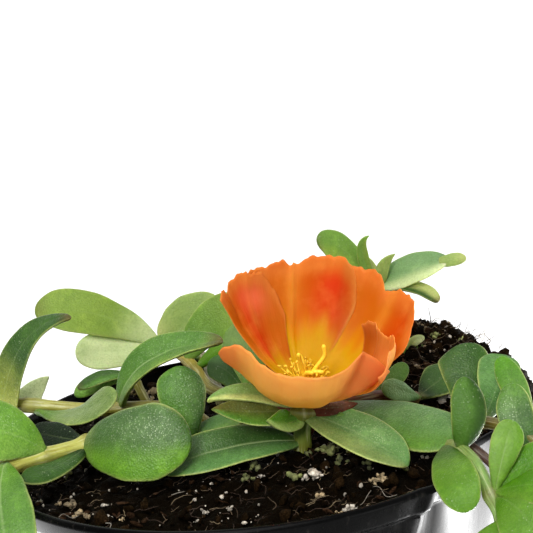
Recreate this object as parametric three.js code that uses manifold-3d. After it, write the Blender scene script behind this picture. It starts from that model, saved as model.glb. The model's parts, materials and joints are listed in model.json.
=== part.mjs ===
// A portulaca (purslane) grown in a thin black nursery pot: leafy, creeping shoots with thick
// spoon-shaped leaves, and one open orange flower held just above them.
// Units are millimetres, +Z is up, and the origin is the middle of the pot's base, on the ground.
// The plant's front is towards -Y.
import * as THREE from "three";
import { mergeVertices } from "three/addons/utils/BufferGeometryUtils.js";
import Module from "manifold-3d";

const wasm = await Module();
wasm.setup();

// ---------- driving dimensions ----------
const POT_HEIGHT = 88;
const RIM_RADIUS = 52.5;
const FOOT_RADIUS = 36;
const WALL = 1.2;
const COLLAR_HEIGHT = 5; // the thicker band round the mouth
const COLLAR_STEP = 1.3; // how far the band stands out from the wall below it
const BEVEL = 0.9; // slope at the band's foot
const FLOOR = 1.4; // thickness of the base
const POT_SIDES = 40;
const RIM_BULGE = { at: 5, size: 4, spread: 22 }; // degrees round the rim, mm, degrees
const RIM_DENT = { at: -33, size: -4.5, spread: 14 };
const CHANNEL = { inner: 22, outer: 33, rise: 1.6 }; // raised ring under the base, with the drain holes
const DRAIN = { holes: 6, radius: 3.6, circle: 27.5 };
const GAP = 0.4; // clear space kept between neighbouring pieces

const SOIL_EDGE = 84; // level of the soil at the front of the rim
const SOIL_CROWN = { lift: 3, spread: 30 }; // slight mound round the plant's crown
const SOIL_HEAP = { x: 41, y: 22, lift: 13.5, spreadX: 15, spreadY: 17 }; // loose heap at the back right
const SOIL_BANK = { start: 3, slope: 1.4 }; // how steeply the heap stands up from the rim
const SOIL_RINGS = 8;

const LEAF_THICKNESS = 1.7;
const LEAF_AROUND = 8;
const LEAF_RINGS = 7;
const STEM_SIDES = 6;

const FLOWER = {
  base: [10.5, -13, 97.8], // where the petals join
  top: [13.8, -19, 114.6], // middle of the flower's mouth
  radius: 19.5,
  depth: 17.4,
  petalThickness: 0.8,
};
const STAMENS = {
  count: 13,
  seed: 7,
  floor: 1, // how far above the flower's base they start
  length: 5.2,
  spread: 4.6,
  thread: 0.32,
  anther: 0.55,
  style: { arms: 5, height: 4.6, spread: 3, reach: 8.4 },
};

const COLOURS = {
  pot: 0x1c1d1e,
  soil: 0x2a1d14,
  leaf: 0x5c8c3a,
  youngLeaf: 0x86b04a,
  petal: 0xe8621c,
  stamen: 0xf0c21a,
};

// ---------- small helpers ----------
const Y_AXIS = new THREE.Vector3(0, 1, 0);
const Z_AXIS = new THREE.Vector3(0, 0, 1);
const GOLDEN_ANGLE = 2.4;

const vec = (p) => new THREE.Vector3(...p);
const turnTo = (from, to) => new THREE.Quaternion().setFromUnitVectors(from, to);

// A repeatable stream of numbers from 0 to 1.
function seeded(seed) {
  let state = seed >>> 0;
  return () => {
    state = (Math.imul(state, 1664525) + 1013904223) >>> 0;
    return state / 4294967296;
  };
}

// A closed three.js geometry as a manifold solid.
function solidOf(geometry) {
  const bare = geometry.clone();
  bare.deleteAttribute("normal");
  bare.deleteAttribute("uv");
  const merged = mergeVertices(bare, 1e-4);
  return new wasm.Manifold(
    new wasm.Mesh({
      numProp: 3,
      vertProperties: new Float32Array(merged.attributes.position.array),
      triVerts: new Uint32Array(merged.index.array),
    }),
  );
}

// A manifold solid as a named mesh.
function meshOf(name, solid, colour, roughness) {
  const { numVert, numProp, vertProperties, triVerts } = solid.getMesh();
  const points = new Float32Array(numVert * 3);
  for (let i = 0; i < numVert; i++) {
    points.set(vertProperties.subarray(i * numProp, i * numProp + 3), i * 3);
  }
  const geometry = new THREE.BufferGeometry();
  geometry.setAttribute("position", new THREE.BufferAttribute(points, 3));
  geometry.setIndex(new THREE.BufferAttribute(triVerts, 1));
  geometry.computeVertexNormals();
  const material = new THREE.MeshStandardMaterial({ color: colour, roughness, metalness: 0 });
  const mesh = new THREE.Mesh(geometry, material);
  mesh.name = name;
  return mesh;
}

const joined = (solids) => solids.reduce((sum, one) => sum.add(one));

// Only the largest connected body, so that no loose scrap stays in a node.
function largestBody(solid) {
  return solid.decompose().reduce((best, one) => (one.volume() > best.volume() ? one : best));
}

// Moves every vertex of a geometry by a function of its place.
function bent(geometry, move) {
  const place = geometry.attributes.position;
  for (let i = 0; i < place.count; i++) {
    const p = new THREE.Vector3().fromBufferAttribute(place, i);
    place.setXYZ(i, ...move(p).toArray());
  }
  return geometry;
}

// ---------- the pot ----------
// How far the rim of the thin, full pot lies outside a true circle: it bulges at the right and is pressed in
// at the front right. angle is in radians.
function squeeze(angle) {
  const degrees = THREE.MathUtils.radToDeg(angle);
  const swell = ({ at, size, spread }) => size * Math.exp(-(((degrees - at) / spread) ** 2));
  return swell(RIM_BULGE) + swell(RIM_DENT);
}

// Moves a point of the round pot outwards or inwards with the squeeze, which grows from the foot to the rim.
function squeezed(p) {
  const radius = Math.hypot(p.x, p.y);
  if (radius < 1e-6) return p;
  const angle = Math.atan2(p.y, p.x);
  const share = (radius / RIM_RADIUS) * Math.min(1, Math.max(0, p.z / POT_HEIGHT)) ** 1.5;
  const scale = 1 + (squeeze(angle) * share) / radius;
  return new THREE.Vector3(p.x * scale, p.y * scale, p.z);
}

// A body of revolution about +Z from [radius, height] pairs.
function turned(profile) {
  const points = profile.map(([r, z]) => new THREE.Vector2(r, z));
  return new THREE.LatheGeometry(points, POT_SIDES).rotateX(Math.PI / 2);
}

// The wall runs straight from the foot to the band, and bends with the squeeze at these heights.
const BEND_HEIGHTS = [45, 68];
const collarFoot = POT_HEIGHT - COLLAR_HEIGHT;
const wallTop = RIM_RADIUS - COLLAR_STEP - BEVEL;
const outerWall = (z) => FOOT_RADIUS + ((wallTop - FOOT_RADIUS) * z) / collarFoot;

function potSolid() {
  const profile = [
    [0, 0],
    [CHANNEL.inner, 0],
    [CHANNEL.inner + 1, CHANNEL.rise],
    [CHANNEL.outer, CHANNEL.rise],
    [CHANNEL.outer + 1, 0],
    [FOOT_RADIUS - 0.8, 0],
    [FOOT_RADIUS, 0.8],
    ...BEND_HEIGHTS.map((z) => [outerWall(z), z]),
    [wallTop, collarFoot],
    [wallTop + COLLAR_STEP, collarFoot + BEVEL],
    [RIM_RADIUS, POT_HEIGHT - 0.7],
    [RIM_RADIUS - 0.5, POT_HEIGHT],
    [RIM_RADIUS - 1.3, POT_HEIGHT],
    [RIM_RADIUS - 1.7, POT_HEIGHT - 0.8],
    [wallTop + COLLAR_STEP - WALL, collarFoot + BEVEL],
    [wallTop - WALL, collarFoot],
    ...BEND_HEIGHTS.toReversed().map((z) => [outerWall(z) - WALL, z]),
    [outerWall(4) - WALL, 4],
    [CHANNEL.outer + 0.6, FLOOR],
    [CHANNEL.outer - 0.4, FLOOR + CHANNEL.rise],
    [CHANNEL.inner + 1.4, FLOOR + CHANNEL.rise],
    [CHANNEL.inner + 0.4, FLOOR],
    [0, FLOOR],
  ];
  const body = solidOf(bent(turned(profile), squeezed));
  const holes = [];
  for (let i = 0; i < DRAIN.holes; i++) {
    const angle = ((i + 0.5) / DRAIN.holes) * 2 * Math.PI;
    const hole = new THREE.CylinderGeometry(DRAIN.radius, DRAIN.radius, 12, 12);
    hole.rotateX(Math.PI / 2);
    hole.translate(DRAIN.circle * Math.cos(angle), DRAIN.circle * Math.sin(angle), 0);
    holes.push(solidOf(hole));
  }
  return body.subtract(joined(holes));
}

// ---------- the soil ----------
const soilRim = wallTop - WALL - GAP;

function soilLevel(x, y) {
  const radius = Math.hypot(x, y);
  const edge = soilRim + squeeze(Math.atan2(y, x));
  const crown = SOIL_CROWN.lift * Math.exp(-((radius / SOIL_CROWN.spread) ** 2));
  const [fromX, fromY] = [(x - SOIL_HEAP.x) / SOIL_HEAP.spreadX, (y - SOIL_HEAP.y) / SOIL_HEAP.spreadY];
  const heap = SOIL_HEAP.lift * Math.exp(-(fromX ** 2) - fromY ** 2);
  const clods =
    0.45 * Math.sin(0.55 * x + 0.4) * Math.sin(0.62 * y + 1.1) + 0.3 * Math.sin(1.05 * x - 0.8 * y);
  const bank = POT_HEIGHT + SOIL_BANK.start + SOIL_BANK.slope * Math.max(0, edge - radius);
  return Math.min(SOIL_EDGE + crown + heap, bank) + clods;
}

function soilSolid() {
  const floor = FLOOR + GAP;
  const wallPoint = (z) => [outerWall(z) - WALL - GAP, z];
  const profile = [
    [0, floor],
    [CHANNEL.inner, floor],
    [CHANNEL.inner + 1, floor + CHANNEL.rise],
    [CHANNEL.outer, floor + CHANNEL.rise],
    wallPoint(6),
    ...BEND_HEIGHTS.map(wallPoint),
    [soilRim, collarFoot - 1],
  ];
  for (let i = SOIL_RINGS; i >= 0; i--) profile.push([(soilRim * i) / SOIL_RINGS, POT_HEIGHT + 1]);
  // The last rings are the surface, so each of their points drops or rises to the soil's level there.
  const settle = (p) => {
    const at = squeezed(p);
    if (p.z > POT_HEIGHT) at.z = soilLevel(at.x, at.y);
    return at;
  };
  return solidOf(bent(turned(profile), settle));
}

// ---------- leaves and stems ----------
// Half width of a leaf at s from 0 at its root to 1 at its tip, as a share of the widest half.
function leafOutline(s, taper, tipRound) {
  const shape = (t) => t ** taper * Math.sqrt(Math.max(0, 1 - t ** tipRound));
  const widest = (taper / (taper + tipRound / 2)) ** (1 / tipRound);
  return shape(s) / shape(widest);
}

// A thick leaf: a sphere drawn out along a midrib from root through mid to tip. Its upper side looks towards
// face at the root and towards tipFace at the tip, and cup raises its edges (or lowers them, below 0).
function leafSolid({ root, mid, tip, width, face, tipFace = face, cup = 0.1, taper = 0.7, tipRound = 2.4 }) {
  const [a, m, c] = [vec(root), vec(mid), vec(tip)];
  const handle = m.clone().multiplyScalar(2).sub(a.clone().add(c).multiplyScalar(0.5));
  const midrib = new THREE.QuadraticBezierCurve3(a, handle, c);
  const thickness = Math.min(LEAF_THICKNESS, 0.3 * width + 0.4);
  const sphere = new THREE.SphereGeometry(1, LEAF_AROUND, LEAF_RINGS);
  return solidOf(
    bent(sphere, (p) => {
      const s = (1 - p.y) / 2;
      const along = midrib.getTangent(s);
      const up = vec(face).lerp(vec(tipFace), s);
      up.addScaledVector(along, -up.dot(along)).normalize();
      const side = new THREE.Vector3().crossVectors(up, along);
      const ring = Math.hypot(p.x, p.z);
      const [across, lift] = ring > 1e-6 ? [p.x / ring, p.z / ring] : [0, 0];
      const half = (width / 2) * Math.max(leafOutline(s, taper, tipRound), ring > 1e-6 ? 0.16 * (1 - s) : 0);
      const thick = (thickness / 2) * Math.min(1, 3.2 * ring) * (1 - 0.3 * s);
      return midrib
        .getPoint(s)
        .addScaledVector(side, half * across)
        .addScaledVector(up, thick * lift + cup * half * across * across);
    }),
  );
}

// A stem along a smooth path, from one radius to another. extra widens it, to cut its hole.
function stemSolid(path, [startRadius, endRadius], extra = 0) {
  const curve = new THREE.CatmullRomCurve3(path.map(vec), false, "centripetal");
  const steps = Math.max(4, Math.round(curve.getLength() / 7));
  const frames = curve.computeFrenetFrames(steps, false);
  const rod = new THREE.CylinderGeometry(1, 1, 1, STEM_SIDES, steps);
  return solidOf(
    bent(rod, (p) => {
      const i = Math.round((p.y + 0.5) * steps);
      const radius = startRadius + ((endRadius - startRadius) * i) / steps + extra;
      return curve
        .getPointAt(i / steps)
        .addScaledVector(frames.binormals[i], radius * p.x)
        .addScaledVector(frames.normals[i], radius * p.z)
        .addScaledVector(frames.tangents[i], extra * (i === 0 ? -1 : i === steps ? 1 : 0));
    }),
  );
}

// One leaf: where it starts, passes and ends, its width, the way its upper side looks, and what differs
// from the usual leaf.
const leaf = (root, mid, tip, width, face, changes = {}) => ({ root, mid, tip, width, face, ...changes });

const OVAL = { taper: 0.5, tipRound: 2.1 };
const DOMED = { ...OVAL, cup: -0.11 };
const POINTED = { taper: 0.3, tipRound: 1.3 };
const BRACT = { taper: 0.5, tipRound: 1.6, cup: 0.2 };

// Every shoot: its stem's path from inside the soil outwards, its radius at both ends, and its leaves.
const SHOOTS = {
  // Low on the left, creeping over the rim. Its first leaf is the broad one at the front.
  shoot_left_low: {
    stem: [
      [-6, -2, 79], [-11, -4.5, 87.5], [-21, -9, 90.8], [-31.5, -13, 92.3],
      [-46, -23, 93], [-56, -29, 90.5], [-63, -33, 83],
    ],
    radii: [1.6, 1.2],
    leaves: [
      leaf([-31.5, -14, 92], [-21.3, -22, 94.5], [-11, -24, 93.7], 14.5, [0, -0.8, 0.5], DOMED),
      leaf([-38.5, -18, 93], [-46, -21, 99], [-54.5, -22, 100.5], 13, [0.1, -0.75, 0.65]),
      leaf([-45, -22, 93], [-44, -37, 90.5], [-41.5, -45, 82], 11.5, [0, -0.6, 1], { tipFace: [0, -1, 0.4] }),
      leaf([-31.5, -12.8, 92.3], [-37, -9, 92.3], [-43, -4.5, 93], 6, [0, -0.4, 0.9]),
      leaf([-30.5, -13, 91.5], [-36, -20.5, 90.5], [-42, -26, 91], 5, [0, -0.5, 0.85]),
      leaf([-55, -28.5, 90.8], [-62, -22, 95], [-69, -18, 95], 10, [-0.3, -0.3, 0.9]),
      leaf([-56, -29, 90.5], [-57, -39, 89], [-56, -46, 82], 10, [0, -0.6, 0.8]),
      leaf([-62, -32.5, 84.5], [-70, -33, 84], [-77, -34, 78], 9, [-0.5, -0.2, 0.8]),
      leaf([-62.5, -32.8, 84], [-65, -38, 76], [-66, -41, 68], 8, [-0.6, -0.7, 0.3]),
    ],
  },
  // High on the left, running level to the rim.
  shoot_left_high: {
    stem: [
      [-5, 5, 79], [-10, 4, 88], [-17, 2.5, 92], [-31, 3, 93.3],
      [-48, 6, 95.5], [-58, 8, 94], [-66, 10, 88],
    ],
    radii: [1.6, 1.2],
    leaves: [
      leaf([-49, 6.2, 95.5], [-42.3, 3, 108.4], [-32.5, -1, 113.8], 7, [-0.9, -0.35, 0.2], {
        tipFace: [0, -0.45, 0.9], cup: 0.2, taper: 0.3, tipRound: 2,
      }),
      leaf([-45, 6, 94.5], [-44, 9.5, 96.5], [-41.5, 12, 98.5], 5, [0, -0.9, 0.3], POINTED),
      leaf([-43, 4.5, 94], [-33.5, -4.5, 95], [-25, -8, 100], 8, [0, -0.4, 0.9], { taper: 1 }),
      leaf([-25.5, 2.6, 93.5], [-18.5, -1.5, 103.3], [-3.5, -6, 106.8], 9.5, [-0.6, -0.5, 0.5], {
        tipFace: [0.2, -0.35, 0.9], cup: 0.35, taper: 0.45,
      }),
      leaf([-57, 8, 94.2], [-62, 15, 97], [-69, 19, 94], 10, [-0.2, 0.1, 1]),
      leaf([-57, 8, 94.2], [-64, 0, 96], [-72, -5, 93], 10, [-0.2, -0.3, 0.9]),
      leaf([-65, 9.8, 89], [-72, 12, 88], [-79, 13, 82], 9, [-0.6, 0, 0.8]),
    ],
  },
  // The pale shoot at the back left, on a stem that climbs from the crown.
  shoot_back_left: {
    stem: [
      [2.5, 0, 79], [2.2, 0, 89], [-0.6, 1, 92.4], [-4.5, 4, 93], [-8, 9, 93.7],
      [-10, 15, 95.3], [-13, 21, 97.3], [-17.8, 26, 99.3],
    ],
    radii: [1.4, 1.1],
    leaves: [
      leaf([-17.5, 25.8, 99], [-30, 25, 107.3], [-43.5, 24, 110], 10.5, [0, -0.75, 0.65]),
      leaf([-17.5, 25.8, 99], [-28.5, 28.5, 100.5], [-37.3, 30, 101.5], 8.5, [0, -0.9, 0.4]),
      leaf([-17.3, 25.6, 99], [-10.8, 27.5, 104], [-4.5, 28.5, 107], 9.5, [0, -1, 0.2]),
      leaf([-12, 19, 96.5], [-6.8, 18, 104.5], [1, 17, 109], 9, [-0.2, -0.9, 0.35]),
      leaf([-10, 16, 95.6], [-4, 14, 100], [1, 12, 101.5], 6.5, [0, -0.5, 0.85], { cup: 0.2 }),
      leaf([1.5, 0.3, 91], [0.7, 5, 100], [-2.5, 8.5, 105.5], 8, [0.1, -0.9, 0.3]),
      leaf([-0.6, 1, 92.4], [-3.2, 6.2, 96.5], [-7.5, 9, 98.2], 6.5, [0.2, -0.7, 0.6]),
      leaf([1.2, 0.1, 91], [-4.5, -8, 91.3], [-10.5, -11.5, 91], 5, [0, -0.5, 0.85]),
    ],
  },
  // A short sprig between the two long left shoots.
  sprig_left: {
    stem: [[-19, 13, 78], [-20.5, 14, 87], [-23.5, 15.5, 95.5]],
    radii: [1.1, 0.9],
    leaves: [
      leaf([-23.5, 15.5, 95.5], [-29, 15.5, 97], [-34, 14, 96.5], 4, [0, -0.5, 0.85]),
      leaf([-23.3, 15.5, 95], [-30, 19, 96], [-36.5, 21, 93], 5.5, [0, -0.8, 0.5]),
    ],
  },
  // A short upright sprig in front, with the tall spoon-shaped leaf.
  sprig_front: {
    stem: [[-10.5, -11.5, 77], [-11, -13, 84], [-11.3, -13.3, 88.8]],
    radii: [1.1, 1],
    leaves: [
      leaf([-11.3, -13.3, 88.5], [-12.2, -12, 97.5], [-12.3, -7.8, 103.4], 9.3, [0.1, -0.85, 0.5], {
        cup: -0.15, taper: 0.75, tipRound: 2.6,
      }),
      leaf([-11, -13, 87.5], [-6.5, -16, 88.5], [-2.5, -15.5, 89], 4, [0.2, -0.6, 0.8]),
    ],
  },
  // The flowering shoot: a stub of stem, its whorl of leaves, and the bloom's bracts.
  shoot_flower: {
    stem: [[8.8, -12.5, 77], [9.2, -14, 86], [9.8, -14, 92.5], [10.4, -13.3, 96.3]],
    radii: [1.4, 1.7],
    leaves: [
      leaf([9.2, -14, 87], [-3.7, -19, 89.3], [-17.6, -21.5, 86.7], 9.5, [0, -0.55, 0.83], {
        cup: 0.15, taper: 0.55,
      }),
      leaf([9.7, -14, 93], [18.2, -22, 91.5], [26.3, -31, 87.5], 10.5, [0.25, -0.6, 0.75], { cup: 0.18 }),
      leaf([9.8, -14, 94.5], [-0.5, -17.5, 99.5], [-7.5, -20.5, 100.3], 7, [0, -0.35, 0.95], BRACT),
      leaf([9.8, -14, 93.5], [1, -19.5, 95.3], [-7, -22.5, 98.7], 6.5, [0.1, -0.7, 0.7], BRACT),
      leaf([9.7, -14.2, 92.8], [6, -18.8, 93.3], [3, -22, 95.3], 4.5, [0.2, -0.75, 0.6], BRACT),
      leaf([10.2, -13.6, 93.5], [14, -15.8, 93], [17.5, -18.3, 93.6], 4.5, [-0.3, -0.5, 0.9], BRACT),
      leaf([10.2, -13, 93.5], [9.8, -9.5, 93.5], [9.3, -6, 94.5], 4.5, [0, -0.5, 0.9], BRACT),
    ],
  },
  // A woody, reddish runner to the right.
  shoot_right_long: {
    stem: [
      [9, -4.5, 78], [11, -6.5, 87.5], [15, -6.3, 91.3],
      [21, -5.3, 91.8], [28, -3, 91.3], [34.5, -2, 89.5],
    ],
    radii: [1.4, 1],
    leaves: [
      leaf([18, -5.5, 91.5], [28, -18.7, 91.2], [37.2, -27.5, 91.8], 11.5, [0, -0.6, 0.8], { cup: -0.1 }),
      leaf([34, -2, 89.6], [30, -5, 92.3], [26.3, -6, 94.3], 4.5, [0, -0.8, 0.6]),
      leaf([34, -2, 89.6], [38.5, 0.5, 91.5], [43, 3.5, 93.5], 8.5, [-0.3, -0.6, 0.75]),
      leaf([23, -4.5, 91.8], [27.5, 1, 94], [32, 5.5, 96], 4, [0, -0.7, 0.7]),
      leaf([22, -5, 91.8], [21, 3.5, 93], [18, 10, 95], 8, [0, -0.4, 0.9]),
    ],
  },
  // Hangs over the rim at the front right, with the youngest, brightest leaves.
  shoot_right_low: {
    stem: [
      [13, -9.5, 77], [19, -15, 84.5], [27, -21, 86.3], [35, -29, 88],
      [37, -38, 91], [38.7, -43.5, 88.7], [40, -48.5, 81.5],
    ],
    radii: [1.4, 1],
    leaves: [
      leaf([35.7, -30.5, 89.5], [38.3, -30.5, 95], [39, -26.5, 100.5], 7.5, [0, -0.9, 0.4], DOMED),
      leaf([35, -30.5, 88.4], [32.3, -44, 89.5], [33.3, -49.5, 85.5], 8.5, [-0.2, -0.9, 0.4], OVAL),
      leaf([39.2, -45.5, 86.3], [41, -45, 92.7], [44, -42, 97.3], 6, [-0.2, -0.95, 0.1], { taper: 0.85 }),
      leaf([39.2, -45.3, 86.7], [44.5, -45.5, 90.5], [49.5, -47, 92], 6.5, [-0.2, -0.7, 0.7]),
      leaf([39.3, -45.8, 86.3], [44.5, -51, 89], [49.5, -54, 89], 8, [-0.1, -0.5, 0.85]),
      leaf([39.5, -46.5, 85.5], [41.5, -54, 86], [44, -60, 81.5], 10, [-0.3, -0.6, 0.7]),
      leaf([39.9, -48, 82.5], [36, -54, 79], [33, -58, 72], 9, [-0.3, -0.8, 0.4]),
      leaf([39.9, -48, 82.5], [46.5, -51, 79], [51, -53, 73], 8.5, [0.6, -0.5, 0.4]),
      leaf([40, -48.3, 81.8], [41, -53, 73], [41, -55, 65], 7.5, [0.1, -1, 0.2]),
    ],
  },
  // Runs level to the right rim, with broad dark leaves held upright.
  shoot_right_high: {
    stem: [
      [16, -2, 78], [23, -7, 86], [30, -12, 88.3], [37.5, -20, 90.3],
      [43.5, -29, 92.3], [48.5, -35, 91], [53.5, -39.5, 84],
    ],
    radii: [1.4, 1],
    leaves: [
      leaf([38, -20.8, 90.4], [41.5, -13.5, 96.5], [42, -8, 101.5], 10, [-0.1, -0.85, 0.5], DOMED),
      leaf([41.5, -26, 91.7], [46.5, -17.5, 96], [48.5, -11, 99.5], 8.5, [0.1, -0.85, 0.5]),
      leaf([48, -34.5, 91.2], [49, -25, 95.5], [47.8, -18.5, 101.5], 7, [-0.2, -0.85, 0.5]),
      leaf([48.5, -35, 91], [49, -31, 94.5], [46.5, -27.5, 99], 8, [-0.3, -0.8, 0.4]),
      leaf([49.5, -36, 90], [56, -33.5, 92], [63, -33, 89.5], 9, [0.2, -0.3, 0.9]),
      leaf([53, -39, 85], [58.5, -43, 84.5], [64, -47, 79], 9, [0.5, -0.4, 0.7]),
      leaf([53.3, -39.3, 84.5], [56.5, -41, 77], [58, -42, 69], 8, [0.8, -0.6, 0.1]),
    ],
  },
  // Stands up behind the flower.
  shoot_back_top: {
    stem: [[24, 20, 80], [26, 20, 91], [28.5, 18.7, 101], [30.5, 17, 109]],
    radii: [1.3, 1.1],
    leaves: [
      leaf([29.8, 17.5, 108], [23, 17.5, 116.8], [17.5, 16.5, 120.3], 7.5, [0.1, -0.8, 0.5]),
      leaf([30.5, 17, 108.5], [38.3, 14, 112.5], [48, 11, 114], 8.8, [0, -0.7, 0.7], {
        taper: 0.5, tipRound: 1.4, cup: 0.25,
      }),
      leaf([30.5, 17, 108], [36.3, 12, 108.8], [41, 8, 105.7], 5, [0, -0.4, 0.9], { cup: 0.25 }),
      leaf([30, 17.3, 108], [27.8, 15.7, 116], [28.6, 15, 120.3], 3.4, [0.3, -0.9, 0.1], BRACT),
      leaf([30.5, 17, 108.5], [31.7, 15.7, 113], [33.8, 14, 116.3], 3.4, [-0.3, -0.9, 0.3], BRACT),
      leaf([29.5, 18, 105], [33, 25, 109], [36, 32, 108], 9, [0, 0.2, 0.95]),
      leaf([29.3, 18.2, 103], [23, 23.5, 106], [17, 29, 104], 8.5, [-0.2, 0.2, 0.95]),
    ],
  },
  // Trails over the rim at the back.
  shoot_back: {
    stem: [[6, 9, 78], [9, 17, 88], [13, 30, 91.5], [15, 44, 93], [15, 56, 90], [14, 63, 80]],
    radii: [1.4, 1],
    leaves: [
      leaf([11, 24, 90.5], [3.5, 29, 94], [-4, 33, 94], 10, [-0.2, 0, 1]),
      leaf([13, 30, 91.5], [21.5, 33, 97], [29, 38, 99], 10, [0, 0, 1]),
      leaf([15, 43, 93], [7, 47, 97], [-1, 50, 97], 10.5, [0, 0.1, 1]),
      leaf([15, 44, 93], [23.5, 49, 97], [32, 52, 96], 10.5, [0.1, 0.2, 1]),
      leaf([15, 56, 90], [7, 62, 92], [0, 67, 89], 10, [-0.2, 0.4, 0.9]),
      leaf([15, 56, 90], [22.5, 62, 91], [30, 66, 87], 10, [0.2, 0.4, 0.9]),
      leaf([14, 62.5, 81], [15, 69, 78], [16, 73, 71], 9, [0, 0.8, 0.5]),
      leaf([14, 62.8, 80.5], [8, 65, 73], [4, 66, 66], 8, [-0.3, 1, 0.1]),
    ],
  },
  // A shorter one beside it.
  shoot_back_low: {
    stem: [[-4, 12, 78], [-6, 20, 87.5], [-8, 33, 90.5], [-11, 46, 91.5], [-14, 55, 88], [-15, 60, 79]],
    radii: [1.3, 0.9],
    leaves: [
      leaf([-9, 38, 91], [-16, 43, 94], [-23, 46, 93], 9.5, [-0.2, 0, 1]),
      leaf([-12, 49, 91], [-5, 55, 93.5], [1, 60, 92], 8.5, [0.1, 0.3, 0.9]),
      leaf([-14, 55, 88], [-21, 59, 90], [-28, 62, 86], 9.5, [-0.3, 0.4, 0.9]),
      leaf([-15, 59.5, 80], [-10, 64, 77], [-7, 67, 70], 8, [0.3, 0.9, 0.3]),
      leaf([-15, 59.8, 79.5], [-20, 62, 73], [-23, 63, 66], 8, [-0.4, 0.9, 0.2]),
    ],
  },
};

const YOUNG_SHOOTS = ["shoot_back_left", "shoot_back_top", "shoot_right_low"];

const shootSolid = ({ stem, radii, leaves }) => joined([stemSolid(stem, radii), ...leaves.map(leafSolid)]);

// ---------- the flower ----------
const flowerBase = vec(FLOWER.base);
const flowerAxis = vec(FLOWER.top).sub(flowerBase).normalize();
const flowerRight = new THREE.Vector3(1, 0, 0).addScaledVector(flowerAxis, -flowerAxis.x).normalize();
const flowerBack = new THREE.Vector3().crossVectors(flowerAxis, flowerRight);

// A point of the flower: angle round it (0 at the right, 90 degrees at the back), distance out, height.
function inFlower(angle, out, height) {
  return flowerBase
    .clone()
    .addScaledVector(flowerRight, out * Math.cos(angle))
    .addScaledVector(flowerBack, out * Math.sin(angle))
    .addScaledVector(flowerAxis, height);
}

// Distance out and height of the open cup at u from 0 at its middle to 1 at its edge.
function cupAt(u) {
  return [FLOWER.radius * (1 - Math.max(0, 1 - u) ** 1.35) ** 0.95, FLOWER.depth * u ** 2.1];
}

// angle: a petal's middle, in degrees. half: half its width, in degrees. reach: its length, as a share of the
// cup's. notch: the depth of the dip in its edge. lean and rise: how far its edge moves out and up, in mm, at
// five places from its right side to its left. wave and phase: its ruffle.
const PETALS = [
  {
    angle: 153, half: 36, reach: 1, notch: 0.06, wave: 0.7, phase: 0.4,
    lean: [2, 1.5, -1.5, -2, -2.5], rise: [0, 0, 0, 0, 0],
  },
  {
    angle: 94, half: 34, reach: 1, notch: 0.04, wave: 0.7, phase: 2.1,
    lean: [0, 0.5, 0, 0.5, 0.5], rise: [0, 0.5, 0, 0, 0],
  },
  {
    angle: 28, half: 38, reach: 1, notch: 0.05, wave: 0.7, phase: 3.9,
    lean: [-1.5, -0.5, -1.5, -0.5, 0], rise: [0, 0, 0, 0, 1],
  },
  {
    // folded along its middle like a gutter, with its near side curled in
    angle: -28, half: 42, reach: 1, notch: 0.05, wave: 0.4, phase: 1.2,
    lean: [-5.5, -6.4, -1.5, -2.4, -8], rise: [-0.7, 0.4, -6, -4.6, 0],
  },
  {
    // the low front petal, whose left end turns outwards
    angle: -112, half: 48, reach: 0.88, notch: 0.02, wave: 0.3, phase: 5,
    lean: [1.5, -4, -4.1, -4.2, -4.7], rise: [3.8, -0.4, -0.4, 0, 1.8],
  },
];
const PETAL_STEPS = { along: 6, across: 8 };

// A closed blade over a grid, split into triangles alike on both faces. at(u, v) gives a point of its middle,
// with v from -1 to 1.
function bladeSolid(thickness, at) {
  const { along, across } = PETAL_STEPS;
  const points = [];
  const faces = [];
  const row = across + 1;
  const layer = (along + 1) * row;
  for (const sign of [1, -1]) {
    for (let i = 0; i <= along; i++) {
      for (let j = 0; j <= across; j++) {
        const [u, v] = [i / along, (2 * j) / across - 1];
        const step = 1e-3;
        const alongU = at(u + step, v).sub(at(u - step, v));
        const alongV = at(u, v + step).sub(at(u, v - step));
        const normal = alongU.cross(alongV).normalize();
        points.push(...at(u, v).addScaledVector(normal, (sign * thickness) / 2).toArray());
      }
    }
  }
  const quad = (a, b, c, d) => faces.push(a, b, c, a, c, d);
  for (let i = 0; i < along; i++) {
    for (let j = 0; j < across; j++) {
      const [a, b, c, d] = [i * row + j, (i + 1) * row + j, (i + 1) * row + j + 1, i * row + j + 1];
      quad(a, b, c, d);
      faces.push(layer + a, layer + c, layer + b, layer + a, layer + d, layer + c);
    }
  }
  const edge = [];
  for (let j = 0; j < across; j++) edge.push(j);
  for (let i = 0; i < along; i++) edge.push(i * row + across);
  for (let j = across; j > 0; j--) edge.push(along * row + j);
  for (let i = along; i > 0; i--) edge.push(i * row);
  edge.forEach((a, k) => {
    const b = edge[(k + 1) % edge.length];
    quad(a, b, layer + b, layer + a);
  });
  const geometry = new THREE.BufferGeometry();
  geometry.setAttribute("position", new THREE.Float32BufferAttribute(points, 3));
  geometry.setIndex(faces);
  return solidOf(geometry);
}

// The value at v of the smooth curve with the given values at v = -1, -0.5, 0, 0.5 and 1.
function through(values, v) {
  const at = (THREE.MathUtils.clamp(v, -1, 1) + 1) * 2;
  const i = Math.min(3, Math.floor(at));
  const share = THREE.MathUtils.smoothstep(at - i, 0, 1);
  return values[i] + (values[i + 1] - values[i]) * share;
}

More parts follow.
